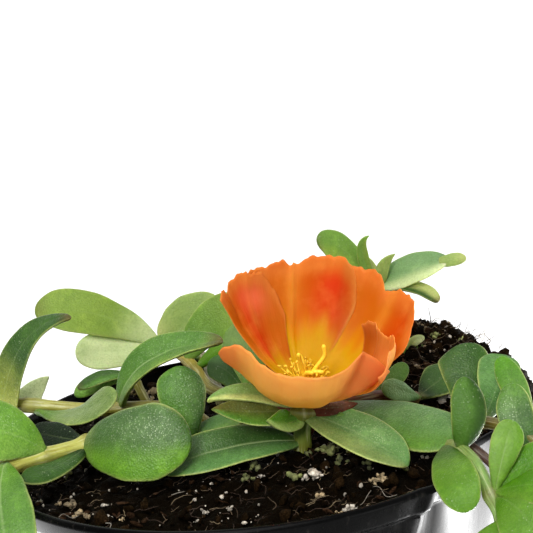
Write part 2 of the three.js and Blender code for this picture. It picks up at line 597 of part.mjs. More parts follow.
// A point of a petal, from its claw (u = 0) to its edge (u = 1), and across it (v from -1 to 1).
function petalPoint({ angle, half, reach, notch, lean, rise, wave, phase }, u, v) {
  const edge = reach * (1 - 0.1 * Math.abs(v) ** 3 - notch * Math.exp(-((v / 0.22) ** 2)));
  const [out, height] = cupAt(0.04 + (edge - 0.04) * u);
  const spread = half * (0.55 + 0.45 * Math.sqrt(Math.min(1, Math.max(0, u) * 1.6)));
  const turn = THREE.MathUtils.degToRad(angle + spread * v);
  const far = Math.max(0, u) ** 2;
  const ruffle = wave * far * Math.sin(2.6 * v * Math.PI + phase);
  const tuck = -0.7 * v * Math.max(0, u); // each petal's left side lies inside the next petal
  const radius = out + tuck + far * through(lean, v) + 0.5 * ruffle;
  return inFlower(turn, Math.max(0.6, radius), height + far * through(rise, v) + 0.6 * ruffle);
}

function corollaSolid() {
  const blade = (petal) => bladeSolid(FLOWER.petalThickness, (u, v) => petalPoint(petal, u, v));
  const claw = new THREE.CylinderGeometry(2.4, 1.8, 1.2, 12).rotateX(Math.PI / 2);
  claw.applyQuaternion(turnTo(Z_AXIS, flowerAxis)).translate(...flowerBase.toArray());
  return largestBody(joined([...PETALS.map(blade), solidOf(claw)]));
}

// A thin three-sided rod between two points.
function threadSolid(from, to, radius) {
  const line = to.clone().sub(from);
  const rod = new THREE.CylinderGeometry(radius * 0.8, radius, line.length(), 3);
  rod.applyQuaternion(turnTo(Y_AXIS, line.normalize()));
  rod.translate(...from.clone().add(to).multiplyScalar(0.5).toArray());
  return solidOf(rod);
}

// Yellow stamens on a small boss, and a style whose arms stand above them.
function stamensSolid() {
  const { count, seed, floor, length, spread, thread, anther, style } = STAMENS;
  const random = seeded(seed);
  const boss = new THREE.SphereGeometry(1, 10, 6).scale(1.9, 1.9, 0.8);
  boss.applyQuaternion(turnTo(Z_AXIS, flowerAxis)).translate(...inFlower(0, 0, floor + 0.8).toArray());
  const pieces = [solidOf(boss)];
  for (let i = 0; i < count; i++) {
    const angle = i * GOLDEN_ANGLE + 0.5 * random();
    const share = Math.sqrt((i + 0.5) / count);
    const rise = length * (0.75 + 0.3 * random()) * (1 - 0.45 * share);
    const foot = inFlower(angle, 1.1 * share, floor + 0.7);
    const head = inFlower(angle, spread * share, floor + 0.6 + rise);
    const tip = new THREE.OctahedronGeometry(anther).translate(...head.toArray());
    pieces.push(threadSolid(foot, head, thread), solidOf(tip));
  }
  const fork = inFlower(0, 0.2, floor + style.height);
  pieces.push(threadSolid(inFlower(0, 0, floor + 0.4), fork, 0.5));
  for (let i = 0; i < style.arms; i++) {
    const end = inFlower((i / style.arms) * 2 * Math.PI + 0.5, style.spread, floor + style.reach);
    pieces.push(threadSolid(fork.clone().addScaledVector(flowerAxis, -0.3), end, 0.42));
  }
  return largestBody(joined(pieces));
}

// ---------- the whole plant ----------
const portulaca = new THREE.Group();

const stemHoles = Object.values(SHOOTS).map(({ stem, radii }) => stemSolid(stem, radii, GAP));
portulaca.add(meshOf("pot", potSolid(), COLOURS.pot, 0.35));
portulaca.add(meshOf("soil", largestBody(soilSolid().subtract(joined(stemHoles))), COLOURS.soil, 0.95));
for (const [name, shoot] of Object.entries(SHOOTS)) {
  const colour = YOUNG_SHOOTS.includes(name) ? COLOURS.youngLeaf : COLOURS.leaf;
  portulaca.add(meshOf(name, largestBody(shootSolid(shoot)), colour, 0.45));
}
portulaca.add(meshOf("petals", corollaSolid(), COLOURS.petal, 0.5));
portulaca.add(meshOf("stamens", stamensSolid(), COLOURS.stamen, 0.6));

export default portulaca;
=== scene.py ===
# A potted portulaca: the finish of each piece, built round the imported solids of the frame.
#
# The tables below are in millimetres: +Z up, the plant's front towards -Y, and the middle of the pot's base
# at the origin. They follow the frame's own forms, with some leaves and petals drawn closer to the photo.
# Every mesh is then made from them in metres.
import json
import math

import bmesh
import bpy
import numpy as np
from mathutils import Matrix, Vector, noise

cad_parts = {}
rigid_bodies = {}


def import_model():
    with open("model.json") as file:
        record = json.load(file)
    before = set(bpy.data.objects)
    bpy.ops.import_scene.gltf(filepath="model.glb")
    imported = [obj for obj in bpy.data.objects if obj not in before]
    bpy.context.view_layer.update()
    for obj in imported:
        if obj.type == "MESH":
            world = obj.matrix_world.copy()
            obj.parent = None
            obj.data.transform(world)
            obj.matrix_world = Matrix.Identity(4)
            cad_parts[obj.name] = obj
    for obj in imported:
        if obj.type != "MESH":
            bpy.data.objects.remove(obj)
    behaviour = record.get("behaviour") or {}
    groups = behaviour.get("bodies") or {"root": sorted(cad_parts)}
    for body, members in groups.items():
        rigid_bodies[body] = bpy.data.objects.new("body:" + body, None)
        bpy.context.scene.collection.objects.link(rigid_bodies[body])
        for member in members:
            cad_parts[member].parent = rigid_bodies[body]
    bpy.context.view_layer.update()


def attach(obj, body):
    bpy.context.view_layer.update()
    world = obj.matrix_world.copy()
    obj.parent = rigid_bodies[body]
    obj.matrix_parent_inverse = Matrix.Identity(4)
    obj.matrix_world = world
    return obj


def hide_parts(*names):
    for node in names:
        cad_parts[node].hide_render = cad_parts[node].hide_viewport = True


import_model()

MM = 0.001


# ---------- small helpers ----------
def colour(red, green, blue):
    """A screen colour, 0 to 255, as the linear values that shaders use."""
    return np.array([((c / 255 + 0.055) / 1.055) ** 2.4 if c > 10 else c / 3295 for c in (red, green, blue)])


def unit(v):
    return v / np.linalg.norm(v, axis=-1, keepdims=True)


def smooth(x, low, high):
    """0 below low, 1 above high, and an easy rise between them."""
    t = np.clip((np.asarray(x, float) - low) / (high - low), 0, 1)
    return t * t * (3 - 2 * t)


def bell(x, middle, spread):
    return np.exp(-(((x - middle) / spread) ** 2))


def mixed(first, second, share):
    """first where share is 0, second where it is 1. share has one value for each colour."""
    share = np.asarray(share, float)[..., None]
    return first * (1 - share) + second * share


def bumps(points, size, seed=0.0):
    """Soft random heights from -1 to 1, one for each point, about size mm across."""
    return np.array([noise.noise(Vector(p) / size + Vector((seed, 3 * seed, -seed))) for p in points])


# ---------- meshes ----------
class Skin:
    """Gathers the points (mm), faces and surface values of one mesh."""

    def __init__(self):
        self.points, self.tones, self.places, self.faces, self.finishes = [], [], [], [], []
        self.count = 0

    def add(self, points, faces, tone, place=None, finish=0):
        """tone is one colour, or one for each point, and may have a fourth value for the strength of a
        painted sheen. place is where each point lies on its leaf, stem or petal. finish is the number of the
        material."""
        points = np.asarray(points, float)
        self.points.append(points)
        tone = np.broadcast_to(tone, (len(points), np.shape(tone)[-1]))
        self.tones.append(np.pad(tone, ((0, 0), (0, 4 - tone.shape[1]))))
        self.places.append(np.zeros((len(points), 3)) if place is None else place)
        for block in outward(points, faces):
            self.faces.append(block + self.count)
            self.finishes.append(np.full(len(block), finish))
        self.count += len(points)

    def mesh(self, name, materials):
        mesh = bpy.data.meshes.new(name)
        sizes = np.concatenate([np.full(len(block), block.shape[1]) for block in self.faces])
        corners = np.concatenate([block.ravel() for block in self.faces])
        mesh.vertices.add(self.count)
        mesh.vertices.foreach_set("co", (np.vstack(self.points) * MM).ravel())
        mesh.loops.add(len(corners))
        mesh.loops.foreach_set("vertex_index", corners)
        mesh.polygons.add(len(sizes))
        mesh.polygons.foreach_set("loop_start", np.cumsum(sizes) - sizes)
        mesh.polygons.foreach_set("loop_total", sizes)
        mesh.polygons.foreach_set("material_index", np.concatenate(self.finishes))
        mesh.update(calc_edges=True)
        mesh.shade_smooth()
        tones = mesh.attributes.new("tone", "FLOAT_COLOR", "POINT")
        tones.data.foreach_set("color", np.vstack(self.tones).ravel())
        places = mesh.attributes.new("place", "FLOAT_VECTOR", "POINT")
        places.data.foreach_set("vector", np.vstack(self.places).ravel())
        for material in materials:
            mesh.materials.append(material)
        return mesh

    def piece(self, name, materials, slot, *nodes):
        """The finished object, riding on the frame and standing for these CAD nodes."""
        placed(name, self.mesh(name, materials), slot, *nodes)


def placed(name, mesh, slot, *nodes):
    made = linked(name, mesh)
    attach(made, "root")
    if nodes:
        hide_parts(*nodes)


def linked(name, data):
    """A new object of the scene with this mesh, lamp or camera."""
    made = bpy.data.objects.new(name, data)
    bpy.context.scene.collection.objects.link(made)
    return made


def outward(points, faces):
    """The same faces, turned round if they bound an inside-out solid."""
    volume = 0.0
    for block in faces:
        for k in range(1, block.shape[1] - 1):
            a, b, c = points[block[:, 0]], points[block[:, k]], points[block[:, k + 1]]
            volume += np.einsum("ij,ij->", a, np.cross(b, c))
    return faces if volume > 0 else [block[:, ::-1] for block in faces]


def loft(rings, first, last):
    """A closed skin over rings of points that ends in one point at both ends. rings: [ring, point, value],
    where the first three values are a place and any others ride along."""
    count, around = rings.shape[:2]
    points = np.vstack([rings.reshape(count * around, -1), first, last])
    ring = np.arange(around)
    after = (ring + 1) % around
    start = np.arange(count - 1)[:, None] * around
    quads = np.stack([start + ring, start + after, start + around + after, start + around + ring], axis=-1)
    top = (count - 1) * around
    foot_fan = np.stack([after, ring, np.full(around, count * around)], axis=1)
    head_fan = np.stack([ring + top, after + top, np.full(around, count * around + 1)], axis=1)
    return points, [quads.reshape(-1, 4), np.vstack([foot_fan, head_fan])]


def blade(upper, lower):
    """A closed skin between two grids of points, [row, column, value]."""
    rows, columns = upper.shape[:2]
    points = np.vstack([upper.reshape(rows * columns, -1), lower.reshape(rows * columns, -1)])
    layer = rows * columns
    index = np.arange(layer).reshape(rows, columns)
    corners = index[:-1, :-1], index[1:, :-1], index[1:, 1:], index[:-1, 1:]
    top = np.stack([corner.ravel() for corner in corners], axis=1)
    bottom = top[:, [0, 3, 2, 1]] + layer
    rim = np.concatenate([index[0, :-1], index[:-1, -1], index[-1, :0:-1], index[:0:-1, 0]])
    after = np.roll(rim, -1)
    edge = np.stack([rim, after, after + layer, rim + layer], axis=1)
    return points, [np.vstack([top, bottom, edge])]


def smooth_path(points, step):
    """Points about step apart on the centripetal Catmull-Rom curve through the given ones."""
    given = np.array(points, float)
    ends = [2 * given[0] - given[1]], [2 * given[-1] - given[-2]]
    knots = np.vstack([ends[0], given, ends[1]])
    line = []
    for p0, p1, p2, p3 in zip(knots, knots[1:], knots[2:], knots[3:]):
        gap0, gap1, gap2 = (math.sqrt(math.dist(a, b)) for a, b in ((p0, p1), (p1, p2), (p2, p3)))
        leave = ((p1 - p0) / gap0 - (p2 - p0) / (gap0 + gap1) + (p2 - p1) / gap1) * gap1
        arrive = ((p2 - p1) / gap1 - (p3 - p1) / (gap1 + gap2) + (p3 - p2) / gap2) * gap1
        t = np.linspace(0, 1, 24, endpoint=False)[:, None]
        line.append(
            (2 * t**3 - 3 * t**2 + 1) * p1
            + (t**3 - 2 * t**2 + t) * leave
            + (3 * t**2 - 2 * t**3) * p2
            + (t**3 - t**2) * arrive
        )
    line = np.vstack(line + [given[-1:]])
    along = np.concatenate([[0], np.cumsum(np.linalg.norm(np.diff(line, axis=0), axis=1))])
    at = np.linspace(0, along[-1], max(4, round(along[-1] / step)) + 1)
    return np.stack([np.interp(at, along, line[:, k]) for k in range(3)], axis=1), at


def carried_frames(line):
    """Two directions across a path at each of its points, carried along without twist."""
    tangents = unit(np.gradient(line, axis=0))
    side = np.cross(tangents[0], [0.0, 0.0, 1.0] if abs(tangents[0][2]) < 0.9 else [0.0, 1.0, 0.0])
    sides = []
    for tangent in tangents:
        side = side - tangent * (side @ tangent)
        side = side / np.linalg.norm(side)
        sides.append(side)
    sides = np.array(sides)
    return sides, np.cross(tangents, sides)


def tube(line, radii, around):
    """A closed round rod along a line of points. radii: [point] or [point, direction]."""
    sides, ups = carried_frames(line)
    angle = np.arange(around) / around * 2 * math.pi
    radii = np.broadcast_to(np.asarray(radii, float).reshape(len(line), -1), (len(line), around))
    rings = (
        line[:, None]
        + sides[:, None] * (radii * np.cos(angle))[..., None]
        + ups[:, None] * (radii * np.sin(angle))[..., None]
    )
    return loft(rings, line[0], line[-1])


# ---------- materials ----------
class Finish:
    """Short calls for a material's nodes. Colours are linear values from 0 to 1."""

    def __init__(self, name):
        self.material = bpy.data.materials.new(name)
        self.material.use_nodes = True
        self.tree = self.material.node_tree
        self.tree.nodes.clear()

    def node(self, kind, inputs, **settings):
        made = self.tree.nodes.new("ShaderNode" + kind)
        for key, value in settings.items():
            setattr(made, key, value)
        for key, value in inputs.items():
            if isinstance(value, bpy.types.NodeSocket):
                self.tree.links.new(value, made.inputs[key])
            else:
                made.inputs[key].default_value = value
        return made

    def tone(self):
        """The mesh's own tone: its colour, and in Alpha the strength of its painted sheen and glints."""
        return self.node("Attribute", {}, attribute_name="tone").outputs

    def places(self):
        """The three numbers of the mesh's place attribute."""
        place = self.node("Attribute", {}, attribute_name="place").outputs["Vector"]
        return self.node("SeparateXYZ", {0: place}).outputs

    def objects(self, stretch=(1, 1, 1)):
        """Coordinates in the part's own frame."""
        place = self.node("TexCoord", {}).outputs["Object"]
        return self.node("Mapping", {"Vector": place, "Scale": stretch}).outputs["Vector"]

    def noise(self, size, detail=3.0, roughness=0.55, vector=None):
        """Cloudy values round 0.5, in spots about size mm across."""
        inputs = {"Scale": 1 / (size * MM), "Detail": detail, "Roughness": roughness}
        inputs["Vector"] = vector or self.objects()
        return self.node("TexNoise", inputs).outputs["Fac"]

    def streaks(self, across, along, scale, detail=3.0):
        """Cloudy values drawn out along a leaf, stem or petal."""
        place = self.node("CombineXYZ", {0: along, 1: across}).outputs[0]
        return self.node("TexNoise", {"Vector": place, "Scale": scale, "Detail": detail}).outputs["Fac"]

    def fit(self, value, low, high, to_high=1.0, to_low=0.0):
        """value from low to high, stretched to lie from to_low to to_high."""
        inputs = {"Value": value, "From Min": low, "From Max": high, "To Min": to_low, "To Max": to_high}
        return self.node("MapRange", inputs, clamp=True).outputs["Result"]

    def math(self, operation, first, *others):
        """The values put together one after the other."""
        for other in others:
            first = self.node("Math", {0: first, 1: other}, operation=operation).outputs[0]
        return first

    def sum(self, *values):
        return self.math("ADD", *values)

    def product(self, *values):
        return self.math("MULTIPLY", *values)

    def mix(self, share, first, second, blend="MIX"):
        """The colour first where share is 0, and second laid over it where share is 1."""
        inputs = {0: share, 6: opaque(first), 7: opaque(second)}
        settings = {"data_type": "RGBA", "blend_type": blend, "clamp_factor": True}
        return self.node("Mix", inputs, **settings).outputs[2]

    def shade(self, share, first, second):
        """The colour first, multiplied by second where share is 1."""
        return self.mix(share, first, second, "MULTIPLY")

    def bump(self, height, distance, strength):
        """distance in mm."""
        inputs = {"Height": height, "Distance": distance * MM, "Strength": strength}
        return self.node("Bump", inputs).outputs["Normal"]

    def shader(self, **inputs):
        inputs = {key.replace("_", " "): value for key, value in inputs.items()}
        return self.node("BsdfPrincipled", inputs).outputs[0]

    def done(self, shader):
        self.node("OutputMaterial", {"Surface": shader})
        return self.material

    def done_thin(self, shader, passing, **inputs):
        """A thin thing that lets the share passing of the light through."""
        through = self.node("BsdfTranslucent", inputs).outputs[0]
        return self.done(self.node("MixShader", {0: passing, 1: shader, 2: through}).outputs[0])


def opaque(tint):
    return tint if isinstance(tint, bpy.types.NodeSocket) else (*tint, 1.0)


def waxy_leaf(name, glow, depth, passing, mottle):
    """A thick leaf: its tone, mottled, with a painted sheen and painted glints, pale dots on scattered cells
    that crowd
    where the sheen lies. glow: how much light spreads through the blade. depth: how far, in mm. passing: the
    share of light that passes straight through. mottle: how strong its dark patches are."""
    f = Finish(name)
    along, across, vein = f.places()
    painted = f.tone()
    frost = painted["Alpha"]
    patches = f.noise(6.0)
    clouds = f.noise(2.1)
    grain = f.noise(0.42, 2)
    cells = f.node("TexVoronoi", {"Scale": 1 / (0.36 * MM), "Vector": f.objects()}).outputs
    chance = f.node("SeparateColor", {0: cells["Color"]}).outputs[0]
    wide = f.math("ABSOLUTE", across, 0.0)
    dark = f.shade(f.fit(patches, 0.4, 0.64, mottle), painted["Color"], (0.5, 0.64, 0.45))
    light = f.mix(f.fit(clouds, 0.52, 0.72, 0.35), dark, (1.0, 1.0, 0.8), "SOFT_LIGHT")
    grained = f.shade(f.fit(grain, 0.44, 0.66, 0.8 * mottle), light, (0.5, 0.6, 0.42))
    rib = f.product(f.fit(wide, 0.07, 0.01), f.fit(along, 0.95, 0.2), vein)
    ribbed = f.mix(rib, grained, (0.36, 0.46, 0.2))
    # Painted sheen: a pale haze laid over the leaf where the tone's Alpha is high, thinned by the clouds.
    with_painted_sheen = f.mix(f.product(frost, 0.34, clouds), ribbed, (0.3, 0.44, 0.2))
    # Painted glints: pale dots on a few cells, mostly in the darker patches, and on many cells under the
    # painted sheen.
    dots = f.fit(cells["Distance"], 0.45, 0.15)
    rare = f.product(f.fit(chance, 0.9, 0.94), f.fit(patches, 0.4, 0.6, 0.7))
    common = f.product(f.fit(chance, 0.2, 0.7), frost)
    painted_glints = f.product(dots, f.math("MAXIMUM", rare, common))
    frosted = f.mix(f.product(painted_glints, 0.6), with_painted_sheen, (0.5, 0.62, 0.36))
    height = f.sum(grain, f.product(cells["Distance"], -1.0), f.product(clouds, 0.6))
    body = f.shader(
        Base_Color=frosted,
        Roughness=f.fit(f.math("SUBTRACT", grain, painted_glints), 0.2, 0.7, 0.48, 0.26),
        Normal=f.bump(height, 0.14, 0.6),
        Specular_IOR_Level=0.2,
        Subsurface_Weight=glow,
        Subsurface_Radius=(0.55, 1.0, 0.2),
        Subsurface_Scale=depth * MM,
    )
    return f.done_thin(body, passing, Color=with_painted_sheen)


def fleshy_stem():
    """A ribbed, fleshy stem with long streaks and small scars."""
    f = Finish("fleshy_stem")
    along, around, _ = f.places()
    streaks = f.streaks(around, f.product(along, 0.016), 11.0)
    spots = f.noise(0.7)
    streaked = f.shade(f.fit(streaks, 0.52, 0.68, 0.6), f.tone()["Color"], (0.6, 0.46, 0.28))
    lit = f.mix(f.fit(streaks, 0.46, 0.32, 0.4), streaked, (0.62, 0.62, 0.36))
    shader = f.shader(
        Base_Color=f.shade(f.fit(spots, 0.55, 0.72, 0.4), lit, (0.5, 0.42, 0.28)),
        Roughness=f.fit(spots, 0.3, 0.7, 0.5, 0.34),
        Normal=f.bump(f.sum(streaks, f.product(spots, 0.4)), 0.25, 0.6),
        Subsurface_Weight=0.2,
        Subsurface_Radius=(1.0, 0.8, 0.3),
        Subsurface_Scale=0.7 * MM,
    )
    return f.done(shader)


def silky_petal():
    """A thin petal that lets light through, with soft clouds of colour and faint streaks from claw to
    edge."""
    f = Finish("silky_petal")
    along, across, _ = f.places()
    stretched = f.product(along, 0.5)
    streaks = f.streaks(across, stretched, 9.0)
    fine = f.streaks(across, stretched, 42.0, 2.0)
    clouds = f.noise(4.5)
    warm = f.shade(f.fit(clouds, 0.5, 0.72, 0.2), f.tone()["Color"], (1.0, 0.7, 0.5))
    light = f.mix(f.fit(clouds, 0.5, 0.3, 0.12), warm, (1.0, 0.5, 0.1))
    streaked = f.shade(f.fit(streaks, 0.45, 0.7, 0.1), light, (1.0, 0.66, 0.5))
    silky = f.shade(f.fit(fine, 0.5, 0.75, 0.16), streaked, (0.95, 0.7, 0.6))
    height = f.sum(f.product(fine, 0.3), f.product(clouds, 1.2), f.product(streaks, 0.6))
    normal = f.bump(height, 0.25, 0.4)
    body = f.shader(
        Base_Color=silky,
        Roughness=f.fit(streaks, 0.3, 0.7, 0.6, 0.42),
        Normal=normal,
        Specular_IOR_Level=0.1,
        Subsurface_Weight=0.15,
        Subsurface_Radius=(1.0, 0.4, 0.1),
        Subsurface_Scale=0.6 * MM,
    )
    return f.done_thin(body, 0.35, Color=silky, Normal=normal)


def pollen_yellow():
    f = Finish("pollen_yellow")
    grains = f.noise(0.25, 2)
    shader = f.shader(
        Base_Color=f.shade(f.fit(grains, 0.4, 0.7, 0.5), f.tone()["Color"], (0.85, 0.55, 0.2)),
        Roughness=f.fit(grains, 0.3, 0.7, 0.7, 0.5),
        Normal=f.bump(grains, 0.12, 0.6),
        Subsurface_Weight=0.25,
        Subsurface_Radius=(1.0, 0.7, 0.1),
        Subsurface_Scale=0.4 * MM,
    )
    return f.done(shader)


def moist_peat(name):
    """Dark crumbs, browner where they are dry, each with its own tone."""
    f = Finish(name)
    coarse = f.noise(2.6, 5, 0.65)
    fine = f.noise(0.35, 4, 0.7)
    dry = f.mix(f.fit(coarse, 0.54, 0.7, 0.45), f.tone()["Color"], (0.022, 0.012, 0.005))
    grained = f.shade(f.fit(fine, 0.36, 0.62, 0.9), dry, (0.16, 0.135, 0.1))
    shader = f.shader(
        Base_Color=f.mix(f.fit(fine, 0.68, 0.8, 0.35), grained, (0.1, 0.065, 0.035)),
        Roughness=f.fit(fine, 0.3, 0.7, 0.85, 0.5),
        Normal=f.bump(f.sum(fine, f.product(coarse, 0.6)), 0.6, 1.0),
        Specular_IOR_Level=0.05,
        Specular_Tint=(1.0, 0.72, 0.45, 1.0),
    )
    return f.done(shader)


def rough_bits(name, size, roughness):
    """Perlite, bark, roots and algae: their tone, pitted and shaded in spots of size mm."""
    f = Finish(name)
    pits = f.noise(size, 4, 0.65)
    shader = f.shader(
        Base_Color=f.shade(f.fit(pits, 0.45, 0.68, 0.7), f.tone()["Color"], (0.32, 0.27, 0.2)),
        Roughness=f.fit(pits, 0.3, 0.7, roughness + 0.1, roughness - 0.1),
        Normal=f.bump(pits, 0.3, 0.8),
    )
    return f.done(shader)


def black_plastic():
    """Thin black plastic with faint moulding marks, scuffs and a little soil dust near the rim."""
    f = Finish("black_plastic")
    scuffs = f.noise(2.2, 5, 0.7, f.objects((1, 1, 0.35)))
    marks = f.noise(14, 2)
    fine = f.noise(0.3, 2)
    level = f.node("SeparateXYZ", {0: f.objects()}).outputs[2]
    dust = f.product(f.fit(scuffs, 0.58, 0.75), f.fit(level, 0.074, 0.088), 0.3)
    base = f.mix(f.fit(marks, 0.35, 0.7), (0.0012, 0.0012, 0.0012), (0.003, 0.003, 0.003))
    shader = f.shader(
        Base_Color=f.mix(dust, base, (0.07, 0.06, 0.05)),
        Roughness=f.fit(scuffs, 0.35, 0.75, 0.4, 0.2),
        Normal=f.bump(f.sum(f.product(marks, 1.6), f.product(fine, 0.05)), 0.5, 0.12),
        Specular_IOR_Level=0.04,
    )
    return f.done(shader)


def pale_floor():
    f = Finish("pale_floor")
    base = f.mix(f.fit(f.noise(160), 0.3, 0.7), (0.93, 0.93, 0.93), (0.95, 0.95, 0.945))
    return f.done(f.shader(Base_Color=base, Roughness=0.8))


# ---------- the pot ----------
POT_HEIGHT = 88.0
RIM_RADIUS = 52.5
FOOT_RADIUS = 36.0
WALL = 1.2
COLLAR_HEIGHT = 5.0
COLLAR_STEP = 1.3
BEVEL = 0.9
FLOOR = 1.4
GAP = 0.4
CHANNEL_INNER, CHANNEL_OUTER, CHANNEL_RISE = 22.0, 33.0, 1.6
DRAIN_HOLES, DRAIN_RADIUS, DRAIN_CIRCLE = 6, 3.6, 27.5
POT_SIDES = 240
COLLAR_FOOT = POT_HEIGHT - COLLAR_HEIGHT
WALL_TOP = RIM_RADIUS - COLLAR_STEP - BEVEL
SOIL_RIM = WALL_TOP - WALL - GAP
# How far the rim is pushed out and pressed in, with the middle and the spread in degrees round it.
BULGE, BULGE_SPOT = 4, (5, 22)
DENT, DENT_SPOT = 4.5, (-33, 14)
# The crease: its place in degrees, and how many degrees it leans for each mm down.
CREASE_SPOT, CREASE_LEAN = -55.5, 0.5


def outer_wall(z):
    return FOOT_RADIUS + (WALL_TOP - FOOT_RADIUS) * z / COLLAR_FOOT


def squeeze(degrees):
    """How far the rim lies outside a true circle: it bulges at the right and is pressed in at the front
    right."""
    return BULGE * bell(degrees, *BULGE_SPOT) - DENT * bell(degrees, *DENT_SPOT)


def crease(degrees, z):
    """A sharp fold in the band at the left end of the dent, which leans as it goes down."""
    middle = CREASE_SPOT - CREASE_LEAN * (POT_HEIGHT - z)
    ridge = bell(degrees, middle, 1.5) * smooth(z, 50, 84)
    return ridge - 0.8 * bell(degrees, middle + 4, 2.6) * smooth(z, 55, 84)


def squeezed(points, folded=True):
    """Points of the round pot, moved outwards or inwards with the squeeze and the fold."""
    radius = np.hypot(points[:, 0], points[:, 1])
    degrees = np.degrees(np.arctan2(points[:, 1], points[:, 0]))
    share = radius / RIM_RADIUS * np.clip(points[:, 2] / POT_HEIGHT, 0, 1) ** 1.5
    move = squeeze(degrees) * share
    if folded:
        move = move + crease(degrees, points[:, 2]) * (radius > FOOT_RADIUS)
    scale = 1 + move / np.maximum(radius, 1e-6)
    return np.column_stack([points[:, 0] * scale, points[:, 1] * scale, points[:, 2]])


def turned(profile, sides):
    """A closed skin round the Z axis from [radius, height] pairs that start and end on the axis."""
    angle = np.arange(sides) / sides * 2 * math.pi
    radius, height = np.array(profile[1:-1], float).T[..., None]
    rings = np.stack([radius * np.cos(angle), radius * np.sin(angle), height + 0 * angle], axis=-1)
    return loft(rings, [[0, 0, profile[0][1]]], [[0, 0, profile[-1][1]]])


def filleted(profile, radius, steps=4):
    """The profile with its corners rounded."""
    points = [profile[0]]
    for before, corner, after in zip(profile, profile[1:], profile[2:]):
        before, corner, after = (np.array(p, float) for p in (before, corner, after))
        back, ahead = before - corner, after - corner
        reach = min(radius, 0.4 * np.linalg.norm(back), 0.4 * np.linalg.norm(ahead))
        start, end = corner + unit(back) * reach, corner + unit(ahead) * reach
        for t in np.linspace(0, 1, steps):
            points.append(tuple((1 - t) ** 2 * start + 2 * t * (1 - t) * corner + t**2 * end))
    points.append(profile[-1])
    return points


def spread_out(profile, step):
    """The same profile with points at most step apart."""
    points = [profile[0]]
    for a, b in zip(profile, profile[1:]):
        count = max(1, math.ceil(math.dist(a, b) / step))
        points += [tuple(np.array(a) + (np.array(b) - np.array(a)) * k / count) for k in range(1, count + 1)]
    return points


def make_pot():
    profile = [
        (0, 0),
        (CHANNEL_INNER, 0),
        (CHANNEL_INNER + 1, CHANNEL_RISE),
        (CHANNEL_OUTER, CHANNEL_RISE),
        (CHANNEL_OUTER + 1, 0),
        (FOOT_RADIUS - 0.8, 0),
        (FOOT_RADIUS, 0.8),
        (WALL_TOP, COLLAR_FOOT),
        (WALL_TOP + COLLAR_STEP, COLLAR_FOOT + BEVEL),
        (RIM_RADIUS, POT_HEIGHT - 0.7),
        (RIM_RADIUS - 0.5, POT_HEIGHT),
        (RIM_RADIUS - 1.3, POT_HEIGHT),
        (RIM_RADIUS - 1.7, POT_HEIGHT - 0.8),
        (WALL_TOP + COLLAR_STEP - WALL, COLLAR_FOOT + BEVEL),
        (WALL_TOP - WALL, COLLAR_FOOT),
        (outer_wall(4) - WALL, 4),
        (CHANNEL_OUTER + 0.6, FLOOR),
        (CHANNEL_OUTER - 0.4, FLOOR + CHANNEL_RISE),
        (CHANNEL_INNER + 1.4, FLOOR + CHANNEL_RISE),
        (CHANNEL_INNER + 0.4, FLOOR),
        (0, FLOOR),
    ]
    points, faces = turned(spread_out(filleted(profile, 0.5), 5.5), POT_SIDES)
    skin = Skin()
    skin.add(squeezed(points), faces, (0, 0, 0))
    drilled = linked("pot_shell", skin.mesh("pot_shell", [black_plastic()]))
    cutter = linked("pot_drill", drill_mesh())
    cut = drilled.modifiers.new("holes", "BOOLEAN")
    cut.object = cutter
    cut.solver = "EXACT"
    done = drilled.evaluated_get(bpy.context.evaluated_depsgraph_get())
    mesh = bpy.data.meshes.new_from_object(done)
    bpy.data.objects.remove(drilled)
    bpy.data.objects.remove(cutter)
    mesh.set_sharp_from_angle(angle=math.radians(40))
    placed("pot_fine", mesh, "pot_plastic", "pot")


def drill_mesh():
    skin = Skin()
    for hole in range(DRAIN_HOLES):
        angle = (hole + 0.5) / DRAIN_HOLES * 2 * math.pi
        x, y = DRAIN_CIRCLE * math.cos(angle), DRAIN_CIRCLE * math.sin(angle)
        line = np.array([(x, y, z) for z in (-6.0, -3.0, 3.0, 6.0)])
        skin.add(*tube(line, [DRAIN_RADIUS] * 4, 32), (0, 0, 0))
    return skin.mesh("pot_drill", [])


# ---------- the soil ----------
SOIL_EDGE = 84.0
SOIL_RINGS, SOIL_SIDES = 110, 420
SOIL_SEED = 11
# Mounds: height, then middle and spread as x and y. The heap is the packed soil's own. Loose crumbs lie on it
# and along the right rim.
HEAP = 13.5, (41, 22), (15, 17)
LOOSE_HEAP = 3.4, (51, 13), (10, 14)
LOOSE_BANK = 5.5, (54, -1), (5, 9)
# Linear colours.
PEAT = np.array([0.0025, 0.0016, 0.0006])
DRY_PEAT = np.array([0.026, 0.014, 0.005])
BARK = np.array([0.05, 0.026, 0.014])
STRAW = np.array([0.32, 0.24, 0.13])
CHALK = np.array([0.62, 0.56, 0.46])
ALGA = np.array([0.18, 0.2, 0.06])


def mound(x, y, height, middle, spread):
    return height * np.exp(-(((x - middle[0]) / spread[0]) ** 2) - ((y - middle[1]) / spread[1]) ** 2)


def soil_level(x, y):
    """The packed soil's own surface, without its crumbs."""
    radius = np.hypot(x, y)
    edge = SOIL_RIM + squeeze(np.degrees(np.arctan2(y, x)))
    crown = 3 * bell(radius, 0, 30)
    clods = 0.45 * np.sin(0.55 * x + 0.4) * np.sin(0.62 * y + 1.1) + 0.3 * np.sin(1.05 * x - 0.8 * y)
    bank = POT_HEIGHT + 3 + 1.4 * np.maximum(0, edge - radius)
    return np.minimum(SOIL_EDGE + crown + mound(x, y, *HEAP), bank) + clods


def heap_rise(x, y):
    """How far the loose crumbs stand above soil_level."""
    return mound(x, y, *LOOSE_HEAP) + mound(x, y, *LOOSE_BANK)


